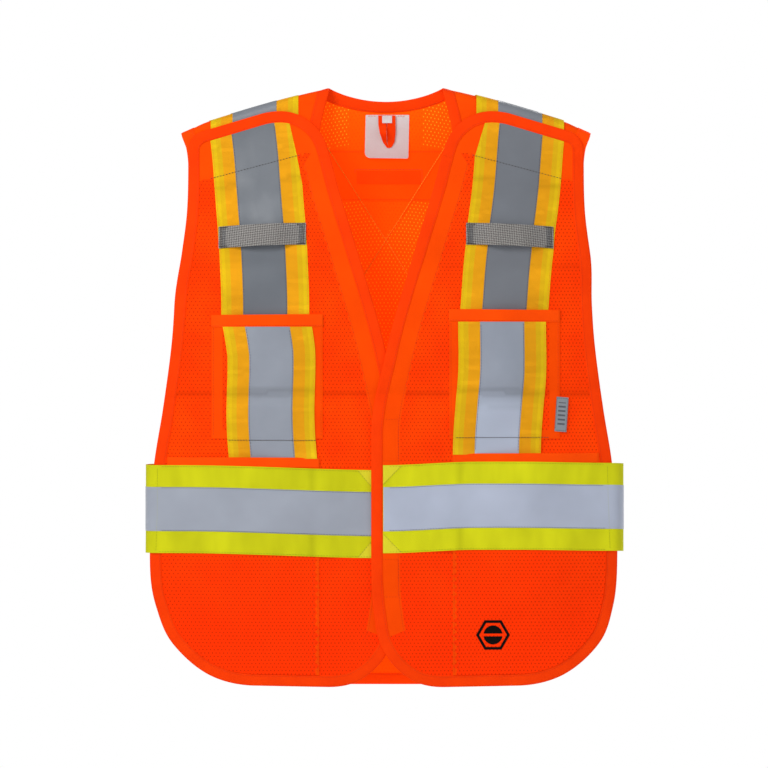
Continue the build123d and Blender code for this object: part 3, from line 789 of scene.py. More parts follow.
def mesh_cloth(name, low, high, glow, hole, radius=HOLE_RADIUS):
    """Knitted mesh with staggered round holes painted in the colour of what lies behind them; where
    that is the vest's shaded inside, the hole colour is painted shade.
    """
    nodes = Nodes(name, 0.9, glow=glow, glow_colour=high, specular=0.03)
    gaps = []
    for shift in ((0.0, 0.0, 0.0), (0.5, 0.5, 0.0)):
        spot = nodes.vector("ADD", nodes.vector("DIVIDE", nodes.uv, (*HOLE_CELL, 1.0)), shift)
        offset = nodes.vector("SUBTRACT", nodes.vector("FRACTION", spot), (0.5, 0.5, 0.0))
        offset = nodes.vector("MULTIPLY", offset, (HOLE_CELL[0], HOLE_CELL[1] * 0.85, 0.0))
        gaps.append(nodes.vector("LENGTH", offset))
    gap = nodes.math("MINIMUM", *gaps)
    solid = nodes.spread(gap, radius - 0.1, radius + 0.1)
    # Painted shade: the cloth turns darker and redder below the waist tape, where the light falls off.
    low_shade_share = nodes.spread(nodes.v, -440.0, -620.0, 0.0, 0.8)
    cloth = nodes.mix(low_shade_share, tones(nodes, low, high), LOW_SHADE_RED)
    for fold in MESH_FOLDS:
        cloth = nodes.folded(cloth, *fold)
    nodes.colour(nodes.mix(solid, hole, cloth))
    ridge = nodes.spread(gap, radius, radius + 0.9, 1.0, 0.0)
    knit = nodes.times(nodes.weave(0.36, 0.5), 0.35)
    nodes.bump(nodes.times(nodes.plus(ridge, knit), solid), 0.0002, 0.8)
    return nodes.material


def solid_cloth(name, low, high, glow, yarn=(0.32, 0.32), roughness=0.85):
    """Plain woven cloth; yarn is the width of its yarns each way."""
    nodes = Nodes(name, roughness, glow=glow, glow_colour=high, specular=0.03)
    nodes.colour(tones(nodes, low, high))
    grain = nodes.times(nodes.noise(1.4, 2.0), 0.8)
    nodes.bump(nodes.plus(nodes.weave(*yarn), grain), 0.00012, 0.6)
    return nodes.material


def binding_cloth(name, low, high, glow):
    """Fine ribs across the binding, with a slight satin look."""
    nodes = Nodes(name, 0.75, glow=glow, glow_colour=high, specular=0.04)
    nodes.colour(tones(nodes, low, high, 0.03))
    rib = nodes.math("SINE", nodes.times(nodes.u, math.pi / 0.35))
    pull = nodes.noise(0.16, 3.0, (1.0, 0.25, 1.0))
    nodes.bump(nodes.plus(nodes.times(rib, 0.35), nodes.times(pull, 2.2)),
               0.00025, 0.6)
    return nodes.material


def yellow_tape(name, outer, outer_dark, inner, edge, glow):
    """Contrast tape: u is the distance from its middle; bands change at edge."""
    nodes = Nodes(name, 0.8, glow=glow, glow_colour=outer, specular=0.06)
    off = nodes.math("ABSOLUTE", nodes.u)
    rim = nodes.mix(nodes.spread(off, edge + 5.4, edge + 5.8), outer_dark, outer)
    band = nodes.mix(nodes.spread(off, edge - 0.3, edge + 0.3), inner, rim)
    shade = nodes.spread(nodes.noise(0.035, 2.0, (0.4, 1.0, 1.0)), 0.3, 0.7, 0.86, 1.06)
    nodes.colour(nodes.folded(nodes.vector("SCALE", band, shade), *TAPE_FOLD))
    grain = nodes.times(nodes.noise(1.2, 2.0), 0.7)
    nodes.bump(nodes.plus(nodes.weave(0.28, 0.28), grain), 0.00012, 0.6)
    return nodes.material


def silver(name, tone, painted_foot_light=None):
    """Glass-bead strip: satin grey-blue, faintly rubbed. Its tone carries painted light,
    painted_foot_light is a lighter painted light on its lower end, and a pocket's strip also gets
    painted shade along a fold.
    """
    nodes = Nodes(name, 0.5, specular=0.25)
    drift = nodes.spread(nodes.noise(0.012, 3.0), 0.3, 0.7)
    colour = nodes.mix(drift, tuple(0.84 * c for c in tone), tone)
    if painted_foot_light:
        colour = nodes.mix(nodes.spread(nodes.v, 86.0, 112.0), colour, painted_foot_light)
    if "pocket" in name:
        colour = nodes.folded(colour, *SILVER_FOLD)
    nodes.colour(colour)
    scuff = nodes.spread(nodes.noise(0.06, 4.0, (1.0, 0.3, 1.0)), 0.35, 0.75, 0.36, 0.52)
    nodes.feed(nodes.shader.inputs["Roughness"], scuff)
    bead = nodes.times(nodes.noise(5.0, 1.0), 0.4)
    grid = nodes.times(nodes.weave(0.5, 0.5), 0.25)
    nodes.bump(nodes.plus(bead, grid), 0.00008, 0.5)
    return nodes.material


def webbing(name, low, high):
    """Coarse flecked webbing with a diagonal check."""
    nodes = Nodes(name, 0.85, specular=0.1)
    lean = nodes.times(nodes.plus(nodes.u, nodes.v), math.pi / 2.5)
    turn = nodes.times(nodes.math("SUBTRACT", nodes.u, nodes.v), math.pi / 2.9)
    check = nodes.times(nodes.math("SINE", lean), nodes.math("SINE", turn))
    rough = nodes.plus(check, nodes.spread(nodes.noise(0.9, 2.0), 0.3, 0.7, -0.6, 0.6))
    nodes.colour(nodes.mix(nodes.spread(rough, -1.1, 1.1), low, high))
    nodes.bump(check, 0.0004, 0.8)
    return nodes.material


def thread(name, colour):
    nodes = Nodes(name, 0.6, specular=0.15)
    twist = nodes.spread(nodes.noise(2.2, 1.0), 0.3, 0.7)
    nodes.colour(nodes.mix(twist, tuple(0.7 * c for c in colour), colour))
    nodes.bump(twist, 0.00008, 0.5)
    return nodes.material


def tag_cloth(name, ground, mark):
    """Grey woven tag with plain dark bars across it."""
    nodes = Nodes(name, 0.7, specular=0.2)
    bars = nodes.math("FRACT", nodes.math("DIVIDE", nodes.v, 5.0))
    on = nodes.times(nodes.math("GREATER_THAN", bars, 0.58),
                    nodes.math("LESS_THAN", nodes.math("ABSOLUTE", nodes.u), 4.6))
    on = nodes.times(on, nodes.math("LESS_THAN", nodes.math("ABSOLUTE", nodes.v), 14.0))
    nodes.colour(nodes.mix(nodes.times(on, 0.75), ground, mark))
    nodes.bump(nodes.weave(0.3, 0.25), 0.0001, 0.8)
    return nodes.material


def pile(name, colour, scale, height):
    """Hook or loop tape: a dense short pile."""
    nodes = Nodes(name, 0.9, specular=0.1)
    tuft = nodes.noise(scale, 3.0)
    nodes.colour(nodes.mix(nodes.spread(tuft, 0.3, 0.7), tuple(0.6 * c for c in colour), colour))
    nodes.bump(tuft, height, 1.0)
    return nodes.material


PAINTED_GLOW, INSIDE_PAINTED_GLOW = 0.25, 0.42  # painted glow of the orange cloth, standing in for its fluorescence and lifting its shaded parts; stronger on the cloth inside the back, lifting the shade it lies in
# The holes of this outer mesh are painted dark: painted shade of the vest's inside seen through them.
# Its drift between the two tones is partly the cloth's own uneven tone and partly painted shade of soft
# wrinkles.
MESH_CLOTH = mesh_cloth("mesh_cloth", linear(221, 44, 2), linear(229, 60, 2), PAINTED_GLOW, linear(162, 24, 2))
# The cloths inside the back, and the back's edge binding, are lit copies of the outside ones: lighter
# tones and a stronger painted glow, painted light that lifts them out of the shade they lie in. The
# yellow in the taped mesh's holes is the tape behind them.
INSIDE = mesh_cloth("inside_mesh", linear(236, 73, 2), linear(242, 79, 2), INSIDE_PAINTED_GLOW,
                    linear(218, 58, 3), 0.6)
INSIDE_TAPE = mesh_cloth("inside_taped_mesh", linear(236, 73, 2), linear(242, 79, 2), INSIDE_PAINTED_GLOW,
                         linear(254, 150, 28), 0.7)
INSIDE_SOLID = solid_cloth("inside_solid_cloth", linear(238, 68, 2), linear(244, 74, 2), INSIDE_PAINTED_GLOW)
INSIDE_BIND = binding_cloth("back_binding_cloth", linear(230, 56, 2), linear(238, 64, 2), 0.4)
SOLID = solid_cloth("solid_cloth", linear(216, 60, 2), linear(224, 67, 2), PAINTED_GLOW)
BIND = binding_cloth("binding_cloth", linear(213, 48, 2), linear(221, 55, 2), PAINTED_GLOW)
BRIGHT_BIND = binding_cloth("pocket_binding_cloth", linear(218, 61, 2), linear(226, 69, 2), PAINTED_GLOW)
# The tapes carry a faint painted glow as well (0.04, and 0.03 on the mitres).
CHEST_TAPE = yellow_tape("chest_tape_cloth", linear(217, 179, 20), linear(211, 167, 20),
                         linear(220, 150, 20), 39.0, 0.04)
# Painted light: one lime tape in a shaded left and a lit right copy.
WAIST_TAPES = {side: yellow_tape(f"waist_tape_cloth_{side}", tone, tone, tone, 20.0, 0.04)
               for side, tone in (("left", linear(195, 196, 22)), ("right", linear(204, 205, 24)))}
MITRE = solid_cloth("mitre_cloth", linear(206, 200, 44), linear(213, 206, 48), 0.03, (0.28, 0.28))
# Painted light: one glass-bead strip in lit and shaded copies, darkest on the chest, lighter on the
# pockets and lightest on the waist, with the right side lighter than the left.
SILVER_PAINTED_LIGHT = {("chest", "left"): (99, 104, 111), ("chest", "right"): (108, 112, 119),
                ("pocket", "left"): (138, 144, 155), ("pocket", "right"): (140, 147, 160),
                ("waist", "left"): (150, 156, 168), ("waist", "right"): (168, 176, 194)}
SILVERS = {key: silver("silver_" + "_".join(key), linear(*tone),
                       linear(161, 169, 186) if key == ("pocket", "right") else None)
           for key, tone in SILVER_PAINTED_LIGHT.items()}
SILVERS["back", "left"] = SILVERS["back", "right"] = silver("silver_back", linear(120, 124, 131))
WEBBING = webbing("grey_webbing", linear(74, 72, 70), linear(152, 149, 146))
LABEL = solid_cloth("label_ribbon", linear(206, 202, 202), linear(215, 212, 212), 0.0, (0.2, 0.2), 0.6)
TAG = tag_cloth("woven_tag_cloth", linear(134, 139, 146), linear(58, 61, 70))
PRINT = solid_cloth("black_print", linear(12, 9, 9), linear(18, 14, 13), 0.0, (0.5, 0.5), 0.6)
HOOKS = pile("hook_tape", linear(225, 62, 8), 1.1, 0.0005)
LOOPS = pile("loop_tape", linear(232, 68, 8), 0.5, 0.0007)
ORANGE_THREAD, YELLOW_THREAD, GREY_THREAD, DARK_THREAD, LIME_THREAD = (
    thread(f"{name}_thread", linear(*tone))
    for name, tone in (("orange", (236, 62, 6)), ("yellow", (254, 158, 34)), ("grey", (96, 98, 104)),
                       ("dark", (74, 66, 60)), ("lime", (170, 176, 24))))

# Sections of the folded bindings: distance in from the cloth's edge, height over the base surface.
FOLD_PROFILE = [(12.6, 0.86), (12.75, 1.12), (12.2, 1.40), (10.8, 1.34), (8.5, 1.48), (5.0, 1.56),
                (1.6, 1.52), (0.3, 1.28), (-0.4, 0.85), (-0.6, 0.4), (-0.4, -0.1), (0.3, -0.48),
                (1.6, -0.66), (5.0, -0.66), (12.0, -0.62), (12.5, -0.38), (12.2, -0.14), (6.0, -0.12),
                (0.5, -0.1), (0.25, 0.4), (0.5, 0.84), (6.0, 0.86)]
MOUTH_PROFILE = [(14.0, 2.26), (14.15, 2.5), (13.6, 2.74), (12.0, 2.66), (8.0, 2.8), (4.0, 2.84),
                 (1.0, 2.74), (0.0, 2.45), (-0.4, 1.9), (0.0, 1.3), (1.0, 1.06), (7.0, 1.04),
                 (13.4, 1.08), (13.9, 1.3), (13.5, 1.5), (7.0, 1.52), (0.5, 1.55), (0.4, 2.2),
                 (7.0, 2.25)]
OUT = (0.0, -1.0, 0.0)
BEHIND = (0.0, 1.0, 0.0)
# Distance from a tape's middle, thread and height over the backing of the tapes' own stitching.
TAPE_SEAMS = ((SILVER_WIDTH / 2 - 0.9, GREY_THREAD, 0.7), (TAPE_WIDTH / 2 - 1.6, YELLOW_THREAD, 0.25))


# ---- tape centre lines --------------------------------------------------------------------
def strip_loop(points, width, wiggle=0.0, seed=0.0):
    """Outline of a tape of even width along a centre line, with slightly wandering edges."""
    line = straight(points, 6.0)
    normals = inward(line, False)
    wander = wiggle * np.sin(lengths(line) / 26.0 + seed)
    right = line + normals * (width / 2 + wander)[:, None]
    left = line - normals * (width / 2 - wander)[:, None]
    return loop_through([*right, *left[::-1]])


def tape_uv(points, wiggle=0.0, seed=0.0):
    """u: distance from a tape's centre line; v: distance along it."""
    line = straight(points, 6.0)
    along = lengths(line)
    normals = inward(line, False)

    def uv(x, z):
        flat = np.stack([x, z], -1)
        gaps = np.linalg.norm(flat[:, None] - line[None], axis=2)
        near = gaps.argmin(1)
        across = ((flat - line[near]) * normals[near]).sum(1)
        wander = wiggle * np.sin(along[near] / 26.0 + seed)
        return np.stack([across - wander, along[near]], -1)

    return uv


def sewn(body, thread_material, path, place, off, up, **sizes):
    """Stitches along a plane path laid on the vest."""
    path = np.asarray(path, float)
    threads.sew(body, thread_material, place(path[:, 0], path[:, 1], off), up, **sizes)


def trimmed(path, *loops):
    """The longest run of a path that lies inside every loop."""
    keep = np.ones(len(path), bool)
    for loop in loops:
        keep &= contains(loop, path)
    runs = np.split(np.arange(len(path)), np.where(np.diff(keep.astype(int)) != 0)[0] + 1)
    runs = [run for run in runs if keep[run[0]]]
    return path[max(runs, key=len)] if runs else path[:1]


# ---- the fronts ---------------------------------------------------------------------------
WINDOW = facing_window()


def front_cloth(name, side, body):
    """A front's mesh panel, binding, facing and their stitching."""
    place = front_place(side)

    def doubled(x, z):
        """Where the facing or the shoulder's hook tape backs the mesh."""
        return ~contains(WINDOW, np.stack([x, z], -1)) | (z > -51.0 - 0.264 * x)

    panel = patch(f"panel_{body}", place, 0.4, 0.7, [MESH_CLOTH, SOLID], [inset(0.6)],
                  lines=[WINDOW], pick=doubled)
    wear(panel, body, [f"front_panel_{name}"], "orange_mesh")
    edge = sweep(f"binding_{body}", FRONT_EDGE, place, FOLD_PROFILE, BIND, True)
    wear(edge, body, [f"front_binding_{name}"], "orange_binding")
    for off, up in ((1.42, OUT), (-0.66, BEHIND)):
        sewn(body, ORANGE_THREAD, inset(BINDING_SEAM), place, off, up)
    neck = joined(*FRONT_RUNS[3:])  # the facing follows the corner, the centre edge and the neck
    neck = neck[np.argmax(neck[:, 1] > -655.0):]
    normals = inward(neck, False)
    outer, inner = neck + normals * (BINDING - 1.2), neck + normals * FACING
    facing = patch(f"facing_{body}", place, -0.42, 0.5, [SOLID],
                   [loop_through([*outer, *inner[::-1]])], strip=FACING - BINDING + 1.2)
    wear(facing, body, [f"front_facing_{name}"], "orange_cloth")
    sewn(body, ORANGE_THREAD, neck + normals * (FACING - 2.0), place, 0.82, OUT)
    return place


def shoulder_hooks(name, body, place):
    """Hook tape inside a front's shoulder, and the dark seam that shows below it."""
    zone = loop_through([(60, 0), (240, 0), (240, -110), (200, -103), (103, -78), (60, -72)])
    piece = patch(f"shoulder_hooks_{body}", place, -0.6, 0.9, [HOOKS], [inset(BINDING + 0.5), zone])
    wear(piece, body, [f"shoulder_hook_{name}"], "hook_strip")
    line = straight([(204.0, -104.4), (98.0, -76.4)])
    sewn(body, DARK_THREAD, line, place, 1.95, OUT, pitch=3.6, length=2.4, radius=0.3)


def lay_tapes(kind, body, name, place, line, off, loops, wiggle, seed):
    """A yellow tape and its silver strip along a centre line, cut by loops, with their stitching."""
    backing, rise = CHEST_TAPE, 0.0
    for layer, width, thick in (("tape", TAPE_WIDTH, 0.4), ("silver", SILVER_WIDTH, 0.3)):
        piece = patch(f"{kind}_{layer}_{body}", place, off + rise, thick, [backing],
                      [strip_loop(line, width, wiggle, seed), *loops], uv=tape_uv(line, wiggle, seed),
                      strip=width)
        slot = "yellow_tape" if layer == "tape" else "silver_tape"
        wear(piece, body, [f"{kind}_{layer}_{name}"], slot)
        backing, rise = SILVERS[kind, name], SILVER_RISE
    middle = straight(line, 4.0)
    sway_in = wiggle * np.sin(lengths(middle) / 26.0 + seed)
    for reach, material, level in TAPE_SEAMS:
        for turn in (-1, 1):
            path = middle + inward(middle, False) * (turn * reach + sway_in)[:, None]
            sewn(body, material, trimmed(path, *loops), place, off + level, OUT)


def chest_tapes(name, side, body, place):
    """The tape above the chest pocket, cut along the hook tape, the facing and the pocket's mouth."""
    pocket_top = CHEST_POCKET_Z[0] + POCKET_SHIFT[side] - 1.0
    trim = 3.4 if side > 0 else 0.0
    band = loop_through([(114.0 + trim, -30.0), (103.0, -78.0), (96.6, -112.0), (92.0, -156.0),
                         (82.0, pocket_top), (300.0, pocket_top), (300.0, 0.0)])
    lay_tapes("chest", body, name, place, CHEST_LINES[side], 1.2, [WINDOW, band],
              1.0, side)


def mic_strap(name, side, body):
    """A webbing strap, sewn down at both ends and arched between them."""
    half, high = STRAP_SIZE[0] / 2, STRAP_SIZE[1]
    place = front_place(side)
    u, v = np.meshgrid(np.linspace(-half, half, 54), np.linspace(-high / 2, high / 2, 9))
    lift = STRAP_ARCH * 0.9 * smooth((half - 9.0 - np.abs(u)) / ((half - 9.0) * 0.75))
    x = STRAP_CENTRE[0] + u
    z = STRAP_CENTRE[1] + v - STRAP_TILT * u + 1.4 - 1.0 * (u / half) ** 2
    top = place(x, z, 2.95 + lift - 0.25 * (np.abs(v) / (high / 2)) ** 6)
    bottom = place(x, z, 2.05 + lift)
    piece = grid_shell(f"mic_strap_{body}", top, bottom, np.stack([u, v], -1), [WEBBING])
    wear(piece, body, [f"mic_strap_{name}"], "grey_webbing")
    for end in (-1, 1):
        for row in np.linspace(2.2, 7.6, 5):
            v_run = np.linspace(-high / 2 + 1.0, high / 2 - 1.0, 24)
            u_run = np.full_like(v_run, end * (half - row))
            v_run = v_run - STRAP_TILT * u_run + 0.6
            path = place(STRAP_CENTRE[0] + u_run, STRAP_CENTRE[1] + v_run, 3.05)
            threads.sew(body, GREY_THREAD if row > 4 else DARK_THREAD, path, OUT, 1.9, 1.6, 0.3)
        for v_end in (-1, 1):
            u_run = np.linspace(half - 11.0, half - 0.8, 14) * end
            v_run = v_end * (high / 2 - 1.2) - STRAP_TILT * u_run + 0.6
            path = place(STRAP_CENTRE[0] + u_run, STRAP_CENTRE[1] + v_run, 3.1)
            threads.sew(body, DARK_THREAD, path, OUT, 1.2, 1.1, 0.42)


def chest_pocket(name, side, body):
    """A chest pocket with its bound mouth; gives back its placing and the height of its mouth."""
    low_x, high_x = CHEST_POCKET_X
    top, foot = CHEST_POCKET_Z[0] + POCKET_SHIFT[side], CHEST_POCKET_Z[1]
    place = front_place(side, chest_pouch)
    allowance = box_loop((low_x + 12.0, high_x - 12.0), (top + 2.0, foot + 10.0))
    cloth = patch(f"chest_pocket_{body}", place, POCKET_START + 0.3, 0.5, [MESH_CLOTH, SOLID],
                  [box_loop((low_x, high_x), (top - 0.4, foot))], lines=[allowance],
                  pick=lambda x, z: ~contains(allowance, np.stack([x, z], -1)))
    wear(cloth, body, [f"chest_pocket_{name}"], "orange_mesh")
    edge = spline([(low_x - 0.6, top), ((low_x + high_x) / 2, top - 0.48), (high_x + 0.6, top - 1.0)])
    mouth = sweep(f"chest_pocket_mouth_{body}", edge, place, MOUTH_PROFILE, BRIGHT_BIND, False,
                  pucker=0.06)
    wear(mouth, body, [f"chest_pocket_binding_{name}"], "orange_binding")
    sewn(body, ORANGE_THREAD, edge + (0.0, -12.4), place, 2.78, OUT)
    for x in (low_x + 2.0, high_x - 2.0):
        sewn(body, ORANGE_THREAD, straight([(x, top - 14.5), (x, foot + 1.0)]), place, 2.2, OUT)
    return place, top


def pocket_tapes(name, side, body, place, top):
    """The tape over a chest pocket, and the dark seam along the pocket's foot."""
    band = box_loop((0, 300), (top - 14.2, LOWER_POCKET_TOP[side] - 1.0))
    lay_tapes("pocket", body, name, place, POCKET_LINES[side], 3.2, [band],
              1.6, 1.0 + side)
    foot, reach = (-403.8, 190.5) if side > 0 else (-407.0, 182.0)
    seam = straight([(80.0, foot), (reach, foot + 0.3)])
    sewn(body, DARK_THREAD, seam, place, 4.05, OUT, radius=0.34)


def lower_pocket(name, side, body):
    """A lower pocket, from its bound mouth just above the waist tape down to the hem."""
    place = front_place(side, lower_pouch)
    low_x, top = LOWER_POCKET_X[0], LOWER_POCKET_TOP[side]
    zone = box_loop((low_x, 300), (top - 0.4, -720.0))
    cloth = patch(f"lower_pocket_{body}", place, POCKET_START + 0.3, 0.5, [MESH_CLOTH, SOLID],
                  [inset(BINDING + 0.3), zone], pick=lambda x, z: x < low_x + 4.0)
    wear(cloth, body, [f"lower_pocket_{name}"], "orange_mesh")
    window = inset(BINDING + 0.2)
    edge = trimmed(straight([(low_x - 0.5, top), (300.0, top + 0.8)]), window)
    profile = [(reach * 11.2 / 14.0, off) for reach, off in MOUTH_PROFILE]
    mouth = sweep(f"lower_pocket_mouth_{body}", edge, place, profile, BRIGHT_BIND, False,
                  pucker=0.06)
    wear(mouth, body, [f"lower_pocket_binding_{name}"], "orange_binding")
    for x in (low_x + 1.6, low_x + 7.0):
        path = straight([(x, WAIST_BOTTOM - 3.0), (x, HEM_Z + 14.0)])
        sewn(body, ORANGE_THREAD, path, place, 2.2, OUT)


def closure(name, side, body, place):
    """The centre strip: hooks inside the right front, loops on the left one."""
    over = side > 0
    top, foot = -384.0, -586.0
    kind = "closure_hook_right" if over else "closure_loop_left"
    material = HOOKS if over else LOOPS
    off = -1.3 if over else 1.5
    loops = [rounded_box((-2.6, 16.6), (top, foot), 2.0), inset(BINDING + 0.6)]
    gaps = [] if over else [box_loop((-20, 40), (WAIST_TOP + 3, WAIST_BOTTOM - 7))]
    piece = patch(f"closure_{body}", place, off, 0.9, [material], loops, gaps)
    wear(piece, body, [kind], "hook_strip" if over else "loop_strip")
    for z_range in ((top + 1.5, WAIST_TOP + 4), (WAIST_BOTTOM - 8, foot - 1.5)):
        box = box_loop((-4.6, 14.6), z_range)
        sewn(body, ORANGE_THREAD, [*box, box[0]], place, 0.86 if over else 2.0, OUT)


def rounded_box(x_range, z_range, radius):
    """A closed box with rounded corners."""
    (x0, x1), (z0, z1) = sorted(x_range), sorted(z_range)
    middle = (x0 + x1) / 2
    return rounded([(middle, z0), (x1, z0), (x1, z1), (x0, z1), (x0, z0), (middle, z0)],
                   (radius,) * 4)[:-1]


# ---- waist tape, from the centre front round the side onto the back -----------------------
def waist_tilt(side, x):
    """Height change of the waist tape along a front."""
    if side > 0:
        return -1.0 + 4.0 * smooth((x + 3.0) / 110.0) - 1.6 * smooth((x - 150.0) / 115.0)
    return -1.2 - 5.6 * smooth((230.0 - x) / 235.0)


def waist_rise(x):
    """Stand of the waist tape over the front: higher on the lower pocket than beside it."""
    return 1.0 + 2.1 * smooth((x - 45.0) / 28.0) + lower_pouch(x, WAIST_MIDDLE)


def bezier(p0, p1, p2, p3, count):
    """Points along a cubic curve, without its first one."""
    t = (np.arange(1, count + 1) / count)[:, None]
    return (1 - t)**3 * p0 + 3 * (1 - t)**2 * t * p1 + 3 * (1 - t) * t**2 * p2 + t**3 * p3


def waist_row(side, height, off, x_from=-3.5, x_to=214.0):
    """One level of the waist tape in space, front run, turn and side tab."""
    place = front_place(side)
    start_x = WRAP_START_X[side]
    xs = np.linspace(x_from, start_x, RUN_STEPS)
    z = WAIST_MIDDLE + height + waist_tilt(side, xs)
    run = place(xs, z, waist_rise(xs) + off)
    first = run[-1]
    way = unit(run[-1] - run[-2])
    level = WAIST_MIDDLE + height
    pivot = np.array([side * (WRAP_X[side] + off), PIVOT_Y, (z[-1] + level) / 2])
    reach = abs(first[1] - PIVOT_Y)
    round_front = bezier(first, first + way * 11.0, pivot + (0, -0.62 * reach, 0), pivot, TURN_STEPS)
    back_x = np.linspace(start_x, x_to, TAB_STEPS)
    back_y = depth(back_x, WAIST_MIDDLE) + 5.7 + off
    back = np.stack([side * back_x, back_y, np.full_like(back_x, level)], -1)
    back_reach = abs(back[0, 1] - PIVOT_Y)
    arrival = back[0] + unit(back[0] - back[1]) * 11.0
    round_back = bezier(pivot, pivot + (0, 0.62 * back_reach, 0), arrival, back[0], TURN_STEPS)
    return np.concatenate([run, round_front, round_back[:-1], back])


def waist_strip(name, side, half, rows, off, thick, x_from, x_to, materials):
    """A ribbon of the waist tape, half its width each side of the tape's middle."""
    heights = np.linspace(-half, half, rows)
    top = np.stack([waist_row(side, h, off + thick, x_from, x_to) for h in heights])
    bottom = np.stack([waist_row(side, h, off, x_from, x_to) for h in heights])
    along = lengths(top[rows // 2])
    v, u = np.meshgrid(along, heights)
    piece = grid_shell(name, top, bottom, np.stack([u, v], -1), materials)
    width, length = 2 * half * MM, along[-1] * MM
    piece["flat"] = [width, length, width * length]
    return piece


def waist(name, side, body):
    """A front's waist tape and silver with their side tabs, stitching and folded corners."""
    turn_x = side * WRAP_X[side] * MM
    start, end = (turn_x, -0.012, 0.0), (turn_x, 0.010, 0.0)
    bend = (body, "back", start, end)
    tape = waist_strip(f"waist_tape_{body}", side, TAPE_WIDTH / 2, 23, 0.0, 0.4, -3.5, 214.0,
                       [WAIST_TAPES[name]])
    wear(tape, bend, [f"waist_tape_{name}", f"side_tab_{name}"], "yellow_tape")
    strip = waist_strip(f"waist_silver_{body}", side, SILVER_WIDTH / 2, 13, 0.5, 0.3, -3.0, 216.0,
                        [SILVERS["waist", name]])
    wear(strip, bend, [f"waist_silver_{name}", f"side_tab_silver_{name}"], "silver_tape")
    for height, off, material in ((24.6, 0.86, GREY_THREAD), (-24.6, 0.86, GREY_THREAD),
                                  (49.2, 0.42, LIME_THREAD), (-49.2, 0.42, LIME_THREAD)):
        row = waist_row(side, height, off, -3.0)
        threads.sew(body, material, row[2:RUN_STEPS - 2], OUT)
        threads.sew("back", material, row[-TAB_STEPS:], BEHIND)
    place = front_place(side)
    x0, size = (-3.4, 21.5) if side > 0 else (14.0, 18.5)
    for end_z, end_name in ((1, "top"), (-1, "foot")):
        corner = WAIST_MIDDLE + end_z * TAPE_WIDTH / 2 + float(waist_tilt(side, np.array(x0)))
        corners = [(x0, corner - end_z * 0.4), (x0 + size, corner - end_z * 0.4),
                   (x0, corner - end_z * 22.5)]
        piece = patch(f"waist_mitre_{body}_{end_name}", place, 1.56, 0.22, [MITRE],
                      [loop_through(corners, 3.0)])
        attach(piece, body)
        sewn(body, DARK_THREAD, straight([corners[1], corners[2]]), place, 1.7, OUT, radius=0.16)
    side_seam = [waist_row(side, h, 0.45)[RUN_STEPS - 2] for h in np.linspace(-49, 49, 40)]
    threads.sew(body, LIME_THREAD, side_seam, OUT)


def side_patches(name, side):
    """The hook and loop that hold a side tab on the back waist tape."""
    x_range, z_range = (216.0, 256.0), (WAIST_TOP - 6, WAIST_BOTTOM + 6)

    def place(x, z, off):
        return np.stack([side * x, depth(x, WAIST_MIDDLE) + off, z + 0 * x], -1)

    for kind, off, material in (("loop", 3.95, LOOPS), ("hook", 5.05, HOOKS)):
        piece = patch(f"side_{kind}_{name}", place, off, 0.85, [material],
                      [rounded_box(x_range, z_range, 3.0)])
        wear(piece, "back", [f"side_{kind}_{name}"], f"{kind}_strip")


# ---- the back -----------------------------------------------------------------------------
OUTLINE, NECK_EDGE, RIM = back_paths()


# The crossed back tape's centre line, through ARM_FOOT along ARM_WAY, and its drawn ends.
ARM_FOOT, ARM_WAY = np.array([155.0, -22.0]), np.array([262.0, 413.0])
ARM_LINE = [ARM_FOOT + ARM_WAY * share for share in (0.2, -1.02)]


def inner_material(x, along):
    """The back's inner faces: the tape sewn behind shows yellow through the holes."""
    z = height_of(x, along)
    taped = (np.abs(z - WAIST_MIDDLE) < TAPE_WIDTH / 2) | ((np.abs(x) > 42) & (z > -66))
    for arm_x in (np.abs(x), -np.abs(x)):
        off = (arm_x - ARM_FOOT[0]) * ARM_WAY[1] - (z - ARM_FOOT[1]) * ARM_WAY[0]
        taped |= np.abs(off) / np.linalg.norm(ARM_WAY) < TAPE_WIDTH / 2
    return np.where(along < -2.0, 1, np.where(taped, 3, 2))


def back_cloth():
    """The back's mesh panel over the shoulders, its two bindings and their stitching."""
    panel = patch("panel_back", back_place, 0.4, 0.7, [MESH_CLOTH, SOLID, INSIDE, INSIDE_TAPE],
                  [OUTLINE], pick=lambda x, t: t < -2.0, under=inner_material)
    wear(panel, "back", ["back_panel"], "orange_mesh")
    neck = sweep("binding_neck", NECK_EDGE, back_place, FOLD_PROFILE, BIND, False, turn=-1)
    wear(neck, "back", ["neck_binding"], "orange_binding")
    rim = sweep("binding_back_edge", RIM, back_place, FOLD_PROFILE, INSIDE_BIND, False, turn=-1)
    wear(rim, "back", ["back_edge_binding"], "orange_binding")
    for path in (NECK_EDGE, RIM):
        seam = path + inward(path, False, -1) * BINDING_SEAM
        behind = seam[:, 1] > 20
        for part, up in ((behind, BEHIND), (~behind, OUT)):
            for run in np.split(np.arange(len(seam)), np.where(np.diff(part.astype(int)) != 0)[0] + 1):
                if part[run[0]] and len(run) > 3:
                    sewn("back", ORANGE_THREAD, seam[run], back_place, 1.45, up)
        inner = seam[seam[:, 1] > 14]
        gaps = np.where(np.linalg.norm(np.diff(inner, axis=0), axis=1) > 20)[0] + 1
        for run in np.split(np.arange(len(inner)), gaps):
            sewn("back", ORANGE_THREAD, inner[run], back_place, -0.68, OUT)


